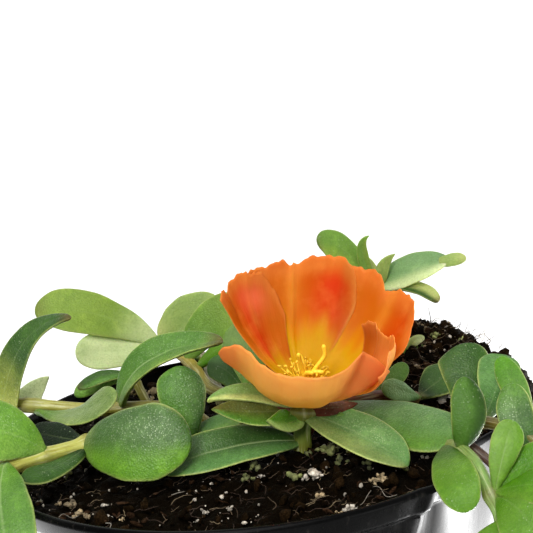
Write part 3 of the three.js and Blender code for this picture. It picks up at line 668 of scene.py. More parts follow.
def crumb_height(x, y):
    """How far the surface's crumbs stand above or below soil_level at one point, and how dry they are."""
    high, dry = -0.8, 0.0
    for size, lift in ((3.4, 0.85), (1.5, 0.5), (0.8, 0.3)):
        distances, middles = noise.voronoi(Vector((x / size, y / size, 7.7 / size)))
        chance = noise.cell(middles[0] * 3.1)
        high += lift * (0.35 + 0.65 * chance) * (1 - 1.5 * distances[0] ** 2)
        dry += lift * chance
    rough = noise.fractal(Vector((x, y, 4.0)) / 4.5, 1.0, 2.0, 4)
    return high + heap_rise(x, y) * (1 + 0.76 * rough), dry


def make_surface():
    """The crumbly top, and the smooth sides and foot that fit inside the pot."""
    foot = FLOOR + GAP
    wall = [(outer_wall(z) - WALL - GAP, z) for z in (6, 45, 68)]
    profile = [(0, foot), (CHANNEL_INNER, foot), (CHANNEL_INNER + 1, foot + CHANNEL_RISE)]
    profile += [(CHANNEL_OUTER, foot + CHANNEL_RISE), *wall, (SOIL_RIM, COLLAR_FOOT - 1)]
    profile += [(SOIL_RIM * (1 - i / SOIL_RINGS), POT_HEIGHT + 1) for i in range(SOIL_RINGS + 1)]
    points, faces = turned(profile, SOIL_SIDES)
    points = squeezed(points, folded=False)
    top = points[:, 2] > POT_HEIGHT
    x, y = points[top, 0], points[top, 1]
    crumbs = np.array([crumb_height(*p) for p in zip(x, y)])
    points[top, 2] = soil_level(x, y) + crumbs[:, 0]
    tones = np.tile(PEAT, (len(points), 1))
    tones[top] = mixed(PEAT, DRY_PEAT, smooth(crumbs[:, 1], 0.9, 1.5) * 0.6)
    skin = Skin()
    skin.add(points, faces, tones)
    skin.piece("soil_surface", [moist_peat("moist_peat")], "soil", "soil")


def lump_form():
    """A small ball of 80 faces, as unit points and triangles."""
    ball = bmesh.new()
    bmesh.ops.create_icosphere(ball, subdivisions=2, radius=1)
    points = np.array([v.co for v in ball.verts])
    faces = np.array([[v.index for v in f.verts] for f in ball.faces])
    ball.free()
    return points, faces


LUMP_POINTS, LUMP_FACES = lump_form()


def random_turn(random):
    """A random rotation as a 3 by 3 array."""
    axis = Vector(random.normal(size=3)).normalized()
    return np.array(Matrix.Rotation(random.uniform(0, 2 * math.pi), 3, axis))


# Where loose bits lie, each as x and y: the lowest and highest values on the whole soil, and the middle and
# spread of those on the heap and of the wisps.
SOIL_SPAN = (-54, -52), (57, 52)
HEAP_SPOTS = (41, 20), (11, 12)
WISP_SPOTS = (46, 14), (4, 11)
# Spilled crumbs: degrees round the pot, distance out, and the foot of the slope that they lie on.
SPILL_DEGREES, SPILL_OUT, SPILL_FOOT = (-16, 17), (52, 56.5), 57


def add_lump(skin, random, place, radius, stretch, tone, jagged=0.35):
    """An irregular lump of about this radius. stretch flattens or draws it out. jagged: how rough it is."""
    points = LUMP_POINTS
    roughened = points * (1 + jagged * bumps(points, 0.75, random.uniform(0, 50)))[:, None]
    shaped = (roughened * np.array(stretch)) @ random_turn(random).T
    shade = 1 + 0.35 * bumps(points, 0.9, random.uniform(0, 50))
    skin.add(np.array(place) + radius * shaped, [LUMP_FACES], tone * shade[:, None])


def add_cluster(skin, random, place, radius, tone):
    """A crumbly bit made of seven small lumps."""
    for _ in range(7):
        spot = place + random.normal(0, 0.55 * radius, 3) * (1, 1, 0.5)
        stretch, shade = random.uniform(0.5, 1.4, 3), random.uniform(0.35, 0.95)
        add_lump(skin, random, spot, radius * random.uniform(0.25, 0.6), stretch, tone * shade, 0.7)


def random_spot(random):
    """A random place on the soil, as x and y. Half of the places tried lie on the heap."""
    while True:
        x, y = random.uniform(*SOIL_SPAN)
        if random.random() < 0.5:
            x, y = random.normal(*HEAP_SPOTS)
        edge = SOIL_RIM + squeeze(math.degrees(math.atan2(y, x)))
        if math.hypot(x, y) < edge - 1.0:
            return x, y


def on_soil(x, y, above=0.0):
    """A point this far above the crumbs' usual height."""
    return np.array([x, y, float(soil_level(x, y)) + 0.9 * float(heap_rise(x, y)) + above])


def add_fibre(skin, random, place, length, radius, tone, rise=0.25):
    """A thin curved fibre that starts at place and wanders, rising by about rise of its length."""
    heading = random.uniform(0, 2 * math.pi)
    path = [place]
    for _ in range(5):
        heading += random.normal(0, 0.6)
        way = np.array([math.cos(heading), math.sin(heading), random.normal(rise, 0.3)])
        path.append(path[-1] + length / 5 * way)
    line, _ = smooth_path(path, length / 9)
    skin.add(*tube(line, radius * np.linspace(1, 0.5, len(line)), 5), tone)


# How many of each lie on the soil. Spilled crumbs lie on the right rim, and wisps stand up from the heap.
CRUMBS, FLAKES, SPILLED = 1700, 330, 220
FIBRES, WISPS = 1500, 110
GRAINS = 600


def make_crumbs(random):
    skin = Skin()
    for _ in range(CRUMBS):
        x, y = random_spot(random)
        radius = 0.3 + 0.9 * random.random() ** 3
        tone = mixed(PEAT, DRY_PEAT, random.random() ** (3 if heap_rise(x, y) < 1 else 1.2))
        stretch = random.uniform(0.6, 1.3, 3)
        add_lump(skin, random, on_soil(x, y, 0.3 * radius), radius, stretch, tone, 0.6)
    for _ in range(FLAKES):
        x, y = random_spot(random)
        tone = BARK * random.uniform(0.3, 1.6)
        stretch = (random.uniform(0.8, 1.8), random.uniform(0.4, 0.8), random.uniform(0.15, 0.35))
        add_lump(skin, random, on_soil(x, y, 0.4), random.uniform(0.35, 1.0), stretch, tone, 0.45)
    for _ in range(SPILLED):
        degrees = random.uniform(*SPILL_DEGREES)
        out = random.uniform(*SPILL_OUT)
        high = (SPILL_FOOT - out) * random.uniform(0.2, 1.5) * bell(degrees, 0, 12)
        x, y = out * math.cos(math.radians(degrees)), out * math.sin(math.radians(degrees))
        tone = mixed(PEAT, DRY_PEAT, random.random() ** 2)
        radius, stretch = random.uniform(0.5, 1.4), random.uniform(0.6, 1.3, 3)
        add_lump(skin, random, (x, y, POT_HEIGHT + 1 + high), radius, stretch, tone, 0.85)
    skin.piece("soil_crumbs", [moist_peat("peat_crumbs")], "soil")


def make_fibres(random):
    skin = Skin()
    for _ in range(FIBRES):
        x, y = random_spot(random)
        tone = mixed(BARK, STRAW, random.random() ** 3)
        length, radius = 1 + 4 * random.random() ** 2, random.uniform(0.03, 0.075)
        add_fibre(skin, random, on_soil(x, y, 0.2), length, radius, tone)
    for _ in range(WISPS):
        x, y = random.normal(*WISP_SPOTS)
        tone = mixed(DRY_PEAT, STRAW, random.random() ** 3)
        length, radius = random.uniform(1.5, 5), random.uniform(0.06, 0.13)
        add_fibre(skin, random, on_soil(x, y), length, radius, tone, 0.6)
    skin.piece("soil_fibres", [rough_bits("soil_fibres", 0.5, 0.7)], "soil")


def make_litter(random):
    skin = Skin()
    for _ in range(GRAINS):
        x, y = random_spot(random)
        radius = 0.1 + 0.38 * random.random() ** 5
        tone = CHALK * random.uniform(0.3, 1.0)
        add_lump(skin, random, on_soil(x, y, 0.45), radius, random.uniform(0.7, 1.2, 3), tone)
    for x, y, radius, tone in SOIL_BITS:
        add_cluster(skin, random, on_soil(x, y, 0.4 + 0.3 * radius), radius, tone)
    for radius, path in ROOTS:
        line, _ = smooth_path([on_soil(*spot) for spot in path], 0.5)
        skin.add(*tube(line, radius * np.linspace(1, 0.6, len(line)), 6), CHALK * 0.5)
    skin.piece("soil_litter", [rough_bits("soil_litter", 0.6, 0.75)], "soil")


def make_soil():
    random = np.random.default_rng(SOIL_SEED)
    make_surface()
    make_crumbs(random)
    make_fibres(random)
    make_litter(random)


# Bits that stand out in the soil: x, y, radius and tone.
SOIL_BITS = [
    (-23.1, 36.5, 1.5, STRAW * 1.6), (-20.6, 37.2, 1.3, STRAW * 1.3), (-25.3, 36.2, 1, STRAW * 1.2),
    (-31.6, -30.2, 1, STRAW * 1.8), (-30.8, -31.2, 0.7, STRAW), (-27.8, -27, 0.6, CHALK),
    (-26.7, -33.3, 0.65, CHALK), (-24, -35, 0.4, STRAW * 1.5), (-9.8, -34.7, 0.6, CHALK),
    (-34.1, -25, 1, STRAW * 0.7), (-36, -25.4, 0.5, STRAW * 1.4), (-40.3, -21, 0.5, CHALK * 0.8),
    (-35.8, -10.6, 1.1, ALGA * 0.8), (-0.1, -20.9, 1, ALGA), (-1.4, -25.5, 0.9, ALGA * 0.9),
    (0.7, -24.8, 0.5, CHALK * 0.9), (-5.3, -36.1, 0.7, CHALK * 0.7), (7.2, -26.5, 0.9, ALGA * 1.6),
    (9.9, -27.2, 1.2, CHALK * 1.3), (11.2, -27.6, 0.8, CHALK * 1.2), (8.7, -26.9, 0.7, CHALK),
    (10.7, -35.8, 0.6, STRAW * 1.4), (22.1, -30.2, 1, STRAW * 1.6), (21.2, -31, 0.7, STRAW * 1.2),
    (14.5, -42, 1.1, CHALK * 1.2), (15.6, -42.6, 0.8, CHALK), (13.4, -42.4, 0.6, STRAW * 1.5),
    (27.2, -25.9, 0.75, ALGA * 2.2), (13.4, -17.3, 1.7, ALGA * 1.3), (16.4, -14.2, 1.2, ALGA * 0.9),
    (15.9, -21.4, 1, ALGA * 0.8), (10.4, -17.4, 0.8, ALGA * 0.7), (20.5, -24.7, 1, ALGA * 0.8),
    (39.8, 0.2, 2.2, CHALK * 1.5), (39.6, 17.5, 0.9, STRAW), (40.5, 27.3, 0.8, STRAW * 1.5),
    (35.8, 9.6, 0.6, STRAW), (38.3, 13.2, 0.6, STRAW * 1.2), (42.8, 19.4, 1.1, STRAW * 1.3),
    (46.5, 19.5, 1.2, ALGA * 2), (48.5, 16, 0.9, STRAW * 1.5), (44.5, 23.5, 1.1, ALGA * 1.7),
    (50.5, 12, 0.8, STRAW), (38.5, 21, 0.9, STRAW * 0.9), (49.5, 8.5, 0.7, STRAW * 1.4),
    (41, 14.5, 0.8, ALGA * 1.5), (47.5, 21.5, 1, STRAW * 1.6), (44, 17, 0.8, STRAW * 1.1),
    (46, 13, 0.7, ALGA * 1.6), (40, 24, 0.9, ALGA * 1.6), (51.5, 6, 0.8, STRAW * 1.2),
    (36.5, 23.5, 0.7, STRAW), (48, 10.5, 0.6, CHALK), (43.5, 10, 0.5, CHALK * 0.8),
    (-11, -40.6, 0.35, CHALK), (-8.5, -23.9, 0.35, CHALK), (-11.4, -31.4, 0.35, CHALK),
    (-32.7, -9.5, 0.35, CHALK),
]
# Pale roots and wisps on the surface: the radius at the start, then x, y and height above the soil.
ROOTS = [
    (0.06, [(19.6, -34.8, 0.3), (18.8, -37, 0.9), (17.6, -39.5, 0.8), (16.4, -41.5, 0.7),
            (14.6, -42.4, 0.4)]),
    (0.055, [(19.9, -33.2, 0.2), (21, -36.2, 1.1), (21.8, -38.8, 1), (23.4, -39.2, 1), (23.6, -37.4, 0.6)]),
    (0.08, [(-31.8, -30.6, 0.4), (-33, -32.3, 1.2), (-34.2, -33.6, 2.8), (-34.7, -35.4, 3.2)]),
    (0.08, [(-26.9, -35.8, 0.3), (-25.8, -37.2, 1), (-25.9, -38.9, 1.6)]),
    (0.08, [(-15.6, -27, 0.5), (-14.1, -28, 0.9), (-13.2, -27.6, 0.6)]),
    (0.07, [(48.6, 14.6, 0.5), (49.6, 14.2, 2), (51, 13.8, 3.4)]),
    (0.06, [(50.4, 12.6, 0.5), (51.2, 11.6, 1.8), (51.2, 10.8, 2.6)]),
    (0.06, [(43.5, 21, 0.5), (43, 21.4, 2.2), (42, 21.4, 3.2)]),
    (0.06, [(33.4, 4.4, 0.4), (34.8, 4.2, 1.6), (36.4, 3.2, 1.8)]),
]


# ---------- leaves ----------
LEAF_THICKNESS = 1.7
LEAF_RINGS, LEAF_AROUND = 38, 32
# Leaf and stem colours, as screen values. The near-black green is painted shade, for leaves that lie deep in
# shadow.
TONES = {
    "mid": (80, 120, 40), "fresh": (80, 132, 18), "bright": (100, 144, 40), "spring": (116, 154, 62),
    "lime": (134, 160, 62), "pale": (156, 178, 98), "mint": (112, 144, 68), "blue": (84, 124, 62),
    "deep": (52, 84, 28), "night": (12, 30, 4), "grey": (116, 134, 74), "olive": (100, 98, 34),
    "brown": (96, 74, 40), "cream": (180, 188, 112), "milk": (214, 226, 168), "ice": (124, 160, 104),
    "moss": (96, 130, 42), "tan": (132, 126, 44), "sand": (146, 132, 52), "red": (96, 44, 26),
    "umber": (60, 32, 18), "dusk": (72, 72, 20), "gold": (164, 164, 74),
}
TONES = {name: colour(*screen) for name, screen in TONES.items()}

# A leaf's form and finish, where its row says nothing else. cup: how far its sides rise (below 0: droop).
# taper, round and point: its foot and tip, see leaf_outline. ripple: how wavy its sides are. rim: how pale
# its edge is, a painted highlight along the margin. rust: how brown its tip is. vein: how deep and pale its
# midrib is.
# frost: how strong the painted sheen and glints on its upper side are.
PLAIN = {
    "cup": 0.1, "taper": 0.7, "round": 2.4, "point": 0.5, "ripple": 0.05,
    "rim": 0.6, "rust": 0, "vein": 0.15, "frost": 0.16,
}
OVAL = {"taper": 0.5, "round": 2.1}
DOMED = {**OVAL, "cup": -0.11}
POINTED = {"taper": 0.3, "round": 1.3, "point": 0.8}
BRACT = {"taper": 0.5, "round": 1.4, "cup": 0.3, "point": 0.95}


def leaf(root, mid, tip, width, face, colours, tip_face=None, **more):
    """root, mid and tip: where its midrib starts, passes and ends. face: the way its upper side looks, and
    tip_face the way it looks at the tip. colours: its tone, a second one if it has one, and the part of the
    leaf that this one tints, which is the foot unless named."""
    tone, other, toward = (colours.split() + ["", ""])[:3]
    made = {**PLAIN, "root": root, "mid": mid, "tip": tip, "width": width, "face": face}
    made.update({"tip_face": tip_face or face, "tone": tone, "other": other or tone})
    return {**made, "toward": toward or "foot", **more}


def shoot(stem, radii, bark, *leaves, young=False, twig=None):
    """stem: its path from inside the soil outwards. radii and bark: its radius and tone at both ends. young:
    its leaves let more light through. twig: the path of a dry side shoot."""
    made = {"stem": stem, "radii": radii, "bark": bark.split(), "leaves": leaves}
    return {**made, "young": young, "twig": twig}


def leaf_outline(s, taper, tip_round, point):
    """The half width along a leaf, 1 at its widest. taper: how thin its foot is. tip_round: how near the tip
    it starts to narrow. point: 0.5 for a round tip, more for a pointed one."""

    def shape(t):
        return t**taper * np.maximum(0, 1 - t**tip_round) ** point

    return shape(s) / shape(np.linspace(0, 1, 200)).max()


def leaf_tones(look, s, across, lift, near):
    """A colour for each point. near is 1 at the edge that lies lower or nearer the plant's front, and -1 at
    the other edge."""
    base = TONES[look["tone"]]
    share = {
        "foot": 1 - smooth(s, 0.0, 0.45),
        "tip": smooth(s, 0.45, 1.0),
        "near": smooth(near, -0.15, 0.8),
        "far": smooth(-near, -0.15, 0.8),
    }[look["toward"]]
    painted = mixed(base, TONES[look["other"]], share)
    painted = mixed(painted, TONES["cream"], 0.22 * (1 - smooth(s, 0.02, 0.16)))
    under = 0.8 * painted + 0.2 * TONES["grey"]
    painted = mixed(painted, under, smooth(-lift, 0.0, 0.5))
    # A pale edge along the margin: a painted highlight, as strong as the leaf's rim.
    edge = smooth(abs(across), 0.9, 1.0) * smooth(s, 0.05, 0.3)
    painted = mixed(painted, TONES["cream"], look["rim"] * edge)
    return mixed(painted, TONES["brown"], look["rust"] * smooth(s, 0.86, 1.0))


def add_leaf(skin, look, seed):
    root, mid, tip = (np.array(look[key], float) for key in ("root", "mid", "tip"))
    face, tip_face = (np.array(look[key], float) for key in ("face", "tip_face"))
    handle = 2 * mid - (root + tip) / 2
    turn = np.linspace(0, math.pi, LEAF_RINGS + 2)[1:-1]
    s = ((1 - np.cos(turn)) / 2)[:, None]
    midrib = (1 - s) ** 2 * root + 2 * s * (1 - s) * handle + s**2 * tip
    along = unit((1 - s) * (handle - root) + s * (tip - handle))
    up = (1 - s) * face + s * tip_face
    up = unit(up - along * np.sum(up * along, axis=1, keepdims=True))
    side = np.cross(up, along)

    angle = np.arange(LEAF_AROUND) / LEAF_AROUND * 2 * math.pi
    across, lift = np.cos(angle)[None, :], np.sin(angle)[None, :]
    width = look["width"]
    thickness = min(LEAF_THICKNESS, 0.3 * width + 0.4)
    wobble = 0.03 * np.sin(7 * s + seed + 2 * np.sign(across))
    wobble = wobble + 0.012 * np.sin(21 * s + 3 * seed + across)
    outline = leaf_outline(s, look["taper"], look["round"], look["point"])
    half = width / 2 * np.maximum(outline, 0.16 * (1 - s)) * (1 + wobble)
    thick = thickness / 2 * np.minimum(1, 3.2 * np.sin(turn)[:, None]) * (1 - 0.3 * s)
    ripple = look["ripple"] * half * np.sin(8 * s + seed + 1.9 * np.sign(across)) * across**2
    rib = bell(across, 0, 0.16) * np.sin(math.pi * s) ** 0.6
    groove = -0.9 * min(look["vein"], 0.5) * rib * (lift > 0)
    keel = -0.15 * rib * (lift < 0)
    rise = thick * lift + look["cup"] * half * across**2 + ripple + groove + keel
    points = midrib[:, None] + side[:, None] * (half * across)[..., None] + up[:, None] * rise[..., None]
    flat = points.reshape(-1, 3)
    dents = 0.2 * bumps(flat, 4.5, seed).reshape(rise.shape) * smooth(s, 0.05, 0.3)
    points = points + up[:, None] * dents[..., None]

    across, lift = np.broadcast_to(across, rise.shape), np.broadcast_to(lift, rise.shape)
    s_all = np.broadcast_to(s, rise.shape)
    near_sign = 1.0 if side[len(side) // 2] @ np.array([0, -1, -1]) > 0 else -1.0
    painted = leaf_tones(look, s_all, across, lift, near_sign * across)
    vein = np.full(rise.shape, look["vein"])
    # The painted sheen: strongest on the upper side, midway along the blade and towards its far edge.
    frost = look["frost"] * bell(s_all, 0.58, 0.34) * bell(near_sign * across, -0.35, 0.6) * (lift > -0.2)
    values = np.stack([s_all, across, vein], axis=2)
    rings = np.concatenate([points, values, painted, frost[..., None]], axis=2)
    first = np.concatenate([root, [0, 0, look["vein"]], painted[0].mean(axis=0), [0]])
    last = np.concatenate([tip, [1, 0, look["vein"]], painted[-1].mean(axis=0), [0]])
    made, faces = loft(rings, first, last)
    skin.add(made[:, :3], faces, made[:, 6:], made[:, 3:6])


# ---------- stems ----------
STEM_AROUND = 20


def add_stem(skin, stem, radii, bark, leaves, seed):
    """A ribbed stem that swells a little where each leaf leaves it. It has the skin's second material."""
    line, at = smooth_path(stem, 0.7)
    start, end = radii
    share = at / at[-1]
    radius = start + (end - start) * share
    painted = mixed(TONES[bark[0]], TONES[bark[1]], smooth(share, 0.25, 0.85))
    for look in leaves:
        gap = np.linalg.norm(line - np.array(look["root"], float), axis=1)
        nearest = at[gap.argmin()]
        if gap.min() < 2.5:
            radius = radius * (1 + 0.16 * bell(at, nearest, 1.3))
            painted = mixed(painted, TONES["olive"], 0.4 * bell(at, nearest, 0.8))
    angle = np.arange(STEM_AROUND) / STEM_AROUND * 2 * math.pi
    ribs = 0.055 * np.cos(5 * angle[None, :] + 0.05 * at[:, None] + seed)
    ribs = ribs + 0.03 * np.cos(3 * angle[None, :] - 0.11 * at[:, None])
    tip_cap = np.sqrt(np.clip((at[-1] - at) / radius[-1], 0, 1))
    radii = radius[:, None] * (1 + ribs) * np.maximum(tip_cap, 0.05)[:, None]
    points, faces = tube(line, radii, STEM_AROUND)
    place = np.zeros((len(points), 3))
    place[:-2, 0] = np.repeat(at, STEM_AROUND)
    place[:-2, 1] = np.tile(np.abs(angle / math.pi - 1), len(line))
    place[-2:, 0] = at[0], at[-1]
    tone = np.vstack([np.repeat(painted, STEM_AROUND, axis=0), painted[:1], painted[-1:]])
    skin.add(points, faces, tone, place, finish=1)


# Every shoot of the frame, by the name of its node.
SHOOTS = {}

# Low on the left, creeping over the rim. Its first leaf is the broad one at the front.
SHOOTS["shoot_left_low"] = shoot(
    [(-6, -2, 79), (-11, -4.5, 87.5), (-21, -9, 90.8), (-31.5, -13, 91.5), (-46, -23, 92.2), (-56, -29, 90),
     (-63, -33, 83)],
    (1.7, 1.5), "gold gold",
    leaf((-31.5, -14, 92), (-21.3, -22, 94.5), (-11, -24, 93.7), 14.5, (0, -0.8, 0.5), "deep bright near",
         cup=-0.11, taper=0.38, round=2.5, vein=0.02, frost=1),
    leaf((-38.5, -18, 93), (-46, -21, 99), (-54.5, -22, 100.5), 13, (0.1, -0.75, 0.65), "bright spring near",
         frost=0.6),
    leaf((-45, -22, 93), (-44, -37, 90.5), (-41.5, -45, 82), 11.5, (0, -0.6, 1), "mid bright",
         tip_face=(0, -1, 0.4), vein=0.5),
    # These two leaves lie in shade, which is painted into their near-black tone.
    leaf((-31.5, -12.8, 92.3), (-37, -9, 92.3), (-43, -4.5, 93), 6, (0, -0.8, 0.6), "night", rim=0, frost=0),
    leaf((-30.5, -13, 91.5), (-36, -20.5, 90.5), (-42, -26, 91), 5, (0, -0.5, 0.85), "deep night", rim=0.8),
    leaf((-55, -28.5, 90.8), (-62, -22, 95), (-69, -18, 95), 10, (-0.3, -0.3, 0.9), "mint"),
    leaf((-56, -29, 90.5), (-57, -39, 89), (-56, -46, 82), 10, (0, -0.6, 0.8), "bright"),
    leaf((-62, -32.5, 84.5), (-70, -33, 84), (-77, -34, 78), 9, (-0.5, -0.2, 0.8), "lime"),
    leaf((-62.5, -32.8, 84), (-65, -38, 76), (-66, -41, 68), 8, (-0.6, -0.7, 0.3), "lime"),
)

# High on the left, running level to the rim.
SHOOTS["shoot_left_high"] = shoot(
    [(-5, 5, 79), (-10, 4, 88), (-17, 2.5, 92), (-31, 3, 93.3), (-48, 6, 95.5), (-58, 8, 94), (-66, 10, 88)],
    (1.6, 1.2), "tan gold",
    leaf((-49.7, 6, 94), (-43, 3, 108.4), (-32.5, -1, 113.8), 8, (-0.5, -0.85, 0.2), "deep gold",
         tip_face=(0, -0.45, 0.9), cup=0.2, taper=0.02, round=1.2, rust=0.7, frost=0.15),
    leaf((-45, 6, 94.5), (-44, 9.5, 96.5), (-40.5, 12, 98.8), 5, (0, -0.9, 0.3), "milk", **POINTED),
    leaf((-43, 4.5, 94), (-33.5, -4.5, 95), (-25, -8, 100), 8, (0, -0.4, 0.9), "grey mid", taper=1,
         frost=0.1),
    leaf((-25.5, 2.6, 93.5), (-18.5, -1.5, 103.3), (-3.5, -6, 106.8), 8.4, (-0.6, -0.5, 0.5),
         "mid moss near", tip_face=(0.2, -0.35, 0.9), cup=0.35, taper=0.45, rust=0.8, vein=0.6, frost=0.5),
    leaf((-57, 8, 94.2), (-62, 15, 97), (-69, 19, 94), 10, (-0.2, 0.1, 1), "mid"),
    leaf((-57, 8, 94.2), (-64, 0, 96), (-72, -5, 93), 10, (-0.2, -0.3, 0.9), "mint"),
    leaf((-65, 9.8, 89), (-72, 12, 88), (-79, 13, 82), 9, (-0.6, 0, 0.8), "lime"),
)

# The pale shoot at the back left, on a stem that climbs from the crown.
SHOOTS["shoot_back_left"] = shoot(
    [(2.5, 0, 79), (2.2, 0, 89), (-0.6, 1, 92.4), (-4.5, 4, 93), (-8, 9, 93.7), (-10, 15, 95.3),
     (-13, 21, 97.3), (-17.8, 26, 99.3)],
    (1.4, 1.1), "olive sand",
    leaf((-17.5, 25.8, 99), (-30, 25, 107.3), (-43.5, 24, 110), 10.5, (0, -0.75, 0.65), "lime milk",
         rust=0.4),
    leaf((-17.5, 25.6, 98.8), (-27.5, 22, 99.8), (-35.5, 20, 101.6), 8.5, (0, -0.8, 0.6), "milk"),
    leaf((-17.8, 25.8, 99.8), (-11.6, 27, 102.6), (-4, 28.5, 107.6), 11.5, (-0.1, -1, 0.2), "pale cream",
         taper=0.4),
    leaf((-12, 19, 96.5), (-7.2, 18, 103.8), (1, 17, 109), 9, (-0.2, -0.9, 0.35), "spring lime tip"),
    leaf((-10, 16, 95.6), (-4, 14, 100), (1, 12, 101.5), 6.5, (0, -0.5, 0.85), "bright fresh near", cup=0.2),
    leaf((1.5, 0.3, 91), (0.7, 5, 100), (-2.5, 8.5, 105.5), 8, (0.1, -0.9, 0.3), "mint fresh"),
    leaf((-0.6, 1, 92.4), (-3.2, 6.2, 96.5), (-7.5, 9, 98.2), 6.5, (0.2, -0.7, 0.6), "deep blue far",
         rim=0.2),
    leaf((1.2, 0.1, 91), (-4.5, -8, 91.3), (-10.5, -11.5, 91), 5, (0, -0.5, 0.85), "blue mint near"),
    young=True,
)

# A short sprig between the two long left shoots.
SHOOTS["sprig_left"] = shoot(
    [(-19, 13, 78), (-20.5, 14, 87), (-23.5, 15.5, 95.5)],
    (1.1, 0.9), "olive olive",
    leaf((-23.5, 15.5, 95.5), (-29, 15.5, 96.4), (-35.3, 14, 94.8), 3.6, (0, -0.5, 0.85), "deep mid near",
         rust=0.5),
    leaf((-23.3, 15.5, 95), (-30, 18, 95), (-36.8, 19, 91.8), 4.2, (0, -0.8, 0.5), "spring"),
)

# A short upright sprig in front, with the tall spoon-shaped leaf.
SHOOTS["sprig_front"] = shoot(
    [(-10.5, -11.5, 77), (-11, -13, 84), (-11.3, -13.3, 88.8)],
    (1.1, 1), "olive olive",
    leaf((-11.3, -13.3, 88.5), (-12.2, -12, 97.5), (-12.3, -7.8, 103.4), 9.3, (0.1, -0.85, 0.5),
         "mid deep far", cup=-0.15, taper=0.75, round=2.6, vein=0.02, frost=0.7),
    leaf((-11, -13, 87.5), (-6.5, -16, 88.5), (-2.5, -15.5, 89), 4, (0.2, -0.6, 0.8), "deep"),
)

# The flowering shoot: a stub of stem, its whorl of leaves, and the bloom's bracts.
SHOOTS["shoot_flower"] = shoot(
    [(8.8, -12.5, 77), (9.2, -14, 86), (9.8, -14, 92.5), (10.4, -13.3, 96.3)],
    (1.4, 1.7), "tan moss",
    leaf((9.2, -14, 87.4), (-3.7, -19, 90), (-17.6, -21.5, 87.8), 9.5, (0, -0.55, 0.83), "deep blue near",
         cup=0.22, taper=0.6, point=0.6, rim=1, vein=0.7, frost=0.3),
    leaf((9.7, -14, 93), (18.2, -22, 91.5), (26.8, -31.6, 87.3), 10.5, (0.25, -0.6, 0.75), "blue grey near",
         cup=0.18, taper=0.8, round=1.9, point=0.7, rim=1, vein=0.35, frost=0.9),
    leaf((9.8, -14, 94.6), (-0.5, -17.5, 99.4), (-7.5, -20.5, 99.9), 4.6, (0, -0.5, 0.87), "mint cream near",
         rim=0.9, frost=0.8, **BRACT),
    leaf((9.8, -14, 93.8), (1, -19.2, 96.2), (-6.8, -22, 98.9), 6.6, (0.1, -0.7, 0.7), "dusk mid near",
         rim=0.9, rust=0.3, frost=0.3, **BRACT),
    leaf((9.7, -14.2, 92.8), (6, -18.8, 93.6), (3, -22, 95.6), 4.8, (0.2, -0.75, 0.6), "fresh pale near",
         rim=1, **BRACT),
    leaf((10.2, -13.6, 93.5), (14, -15.8, 93), (17.5, -18.3, 93.6), 4.5, (-0.3, -0.5, 0.9), "mint", **BRACT),
    leaf((10.2, -13, 93.5), (9.8, -9.5, 93.5), (9.3, -6, 94.5), 4.5, (0, -0.5, 0.9), "mid", **BRACT),
    leaf((10.4, -14.5, 94.9), (15.3, -16.8, 94.7), (20.4, -16.4, 94.9), 3.4, (0, -0.9, 0.3), "red", rim=0.2,
         **POINTED),
    leaf((9.2, -14.5, 95.2), (5.4, -16.5, 96), (2.6, -16.8, 97.4), 3, (0, -0.9, 0.3), "red", rim=0.2,
         **POINTED),
)

# A woody, reddish runner to the right.
SHOOTS["shoot_right_long"] = shoot(
    [(9, -4.5, 78), (11, -6.5, 87.5), (15, -6.3, 91.3), (21, -5.3, 91.8), (28, -3, 91.3), (34.5, -2, 89.5)],
    (1.4, 1), "red red",
    leaf((18, -5.5, 91.5), (28, -18.7, 91.2), (37, -29, 90.8), 11.6, (0, -0.6, 0.8), "blue mid near",
         cup=-0.1, round=2, vein=0.05, frost=0.5),
    leaf((34, -2, 89.6), (30, -5, 92.3), (26.3, -6, 94.3), 4.5, (0, -0.8, 0.6), "ice blue", frost=0.4),
    # Its foot is painted near-black: painted shade.
    leaf((34, -2, 89.6), (38.5, 0.5, 91.5), (43, 3.5, 93.5), 8.5, (-0.3, -0.6, 0.75), "deep night",
         frost=0.05),
    leaf((23.8, -4.5, 91), (28.6, 0.5, 92.6), (32.8, 4.5, 95), 4, (0, -0.7, 0.7), "mid olive"),
    leaf((22, -5, 91.8), (21, 3.5, 93), (18, 10, 95), 8, (0, -0.4, 0.9), "mid"),
)

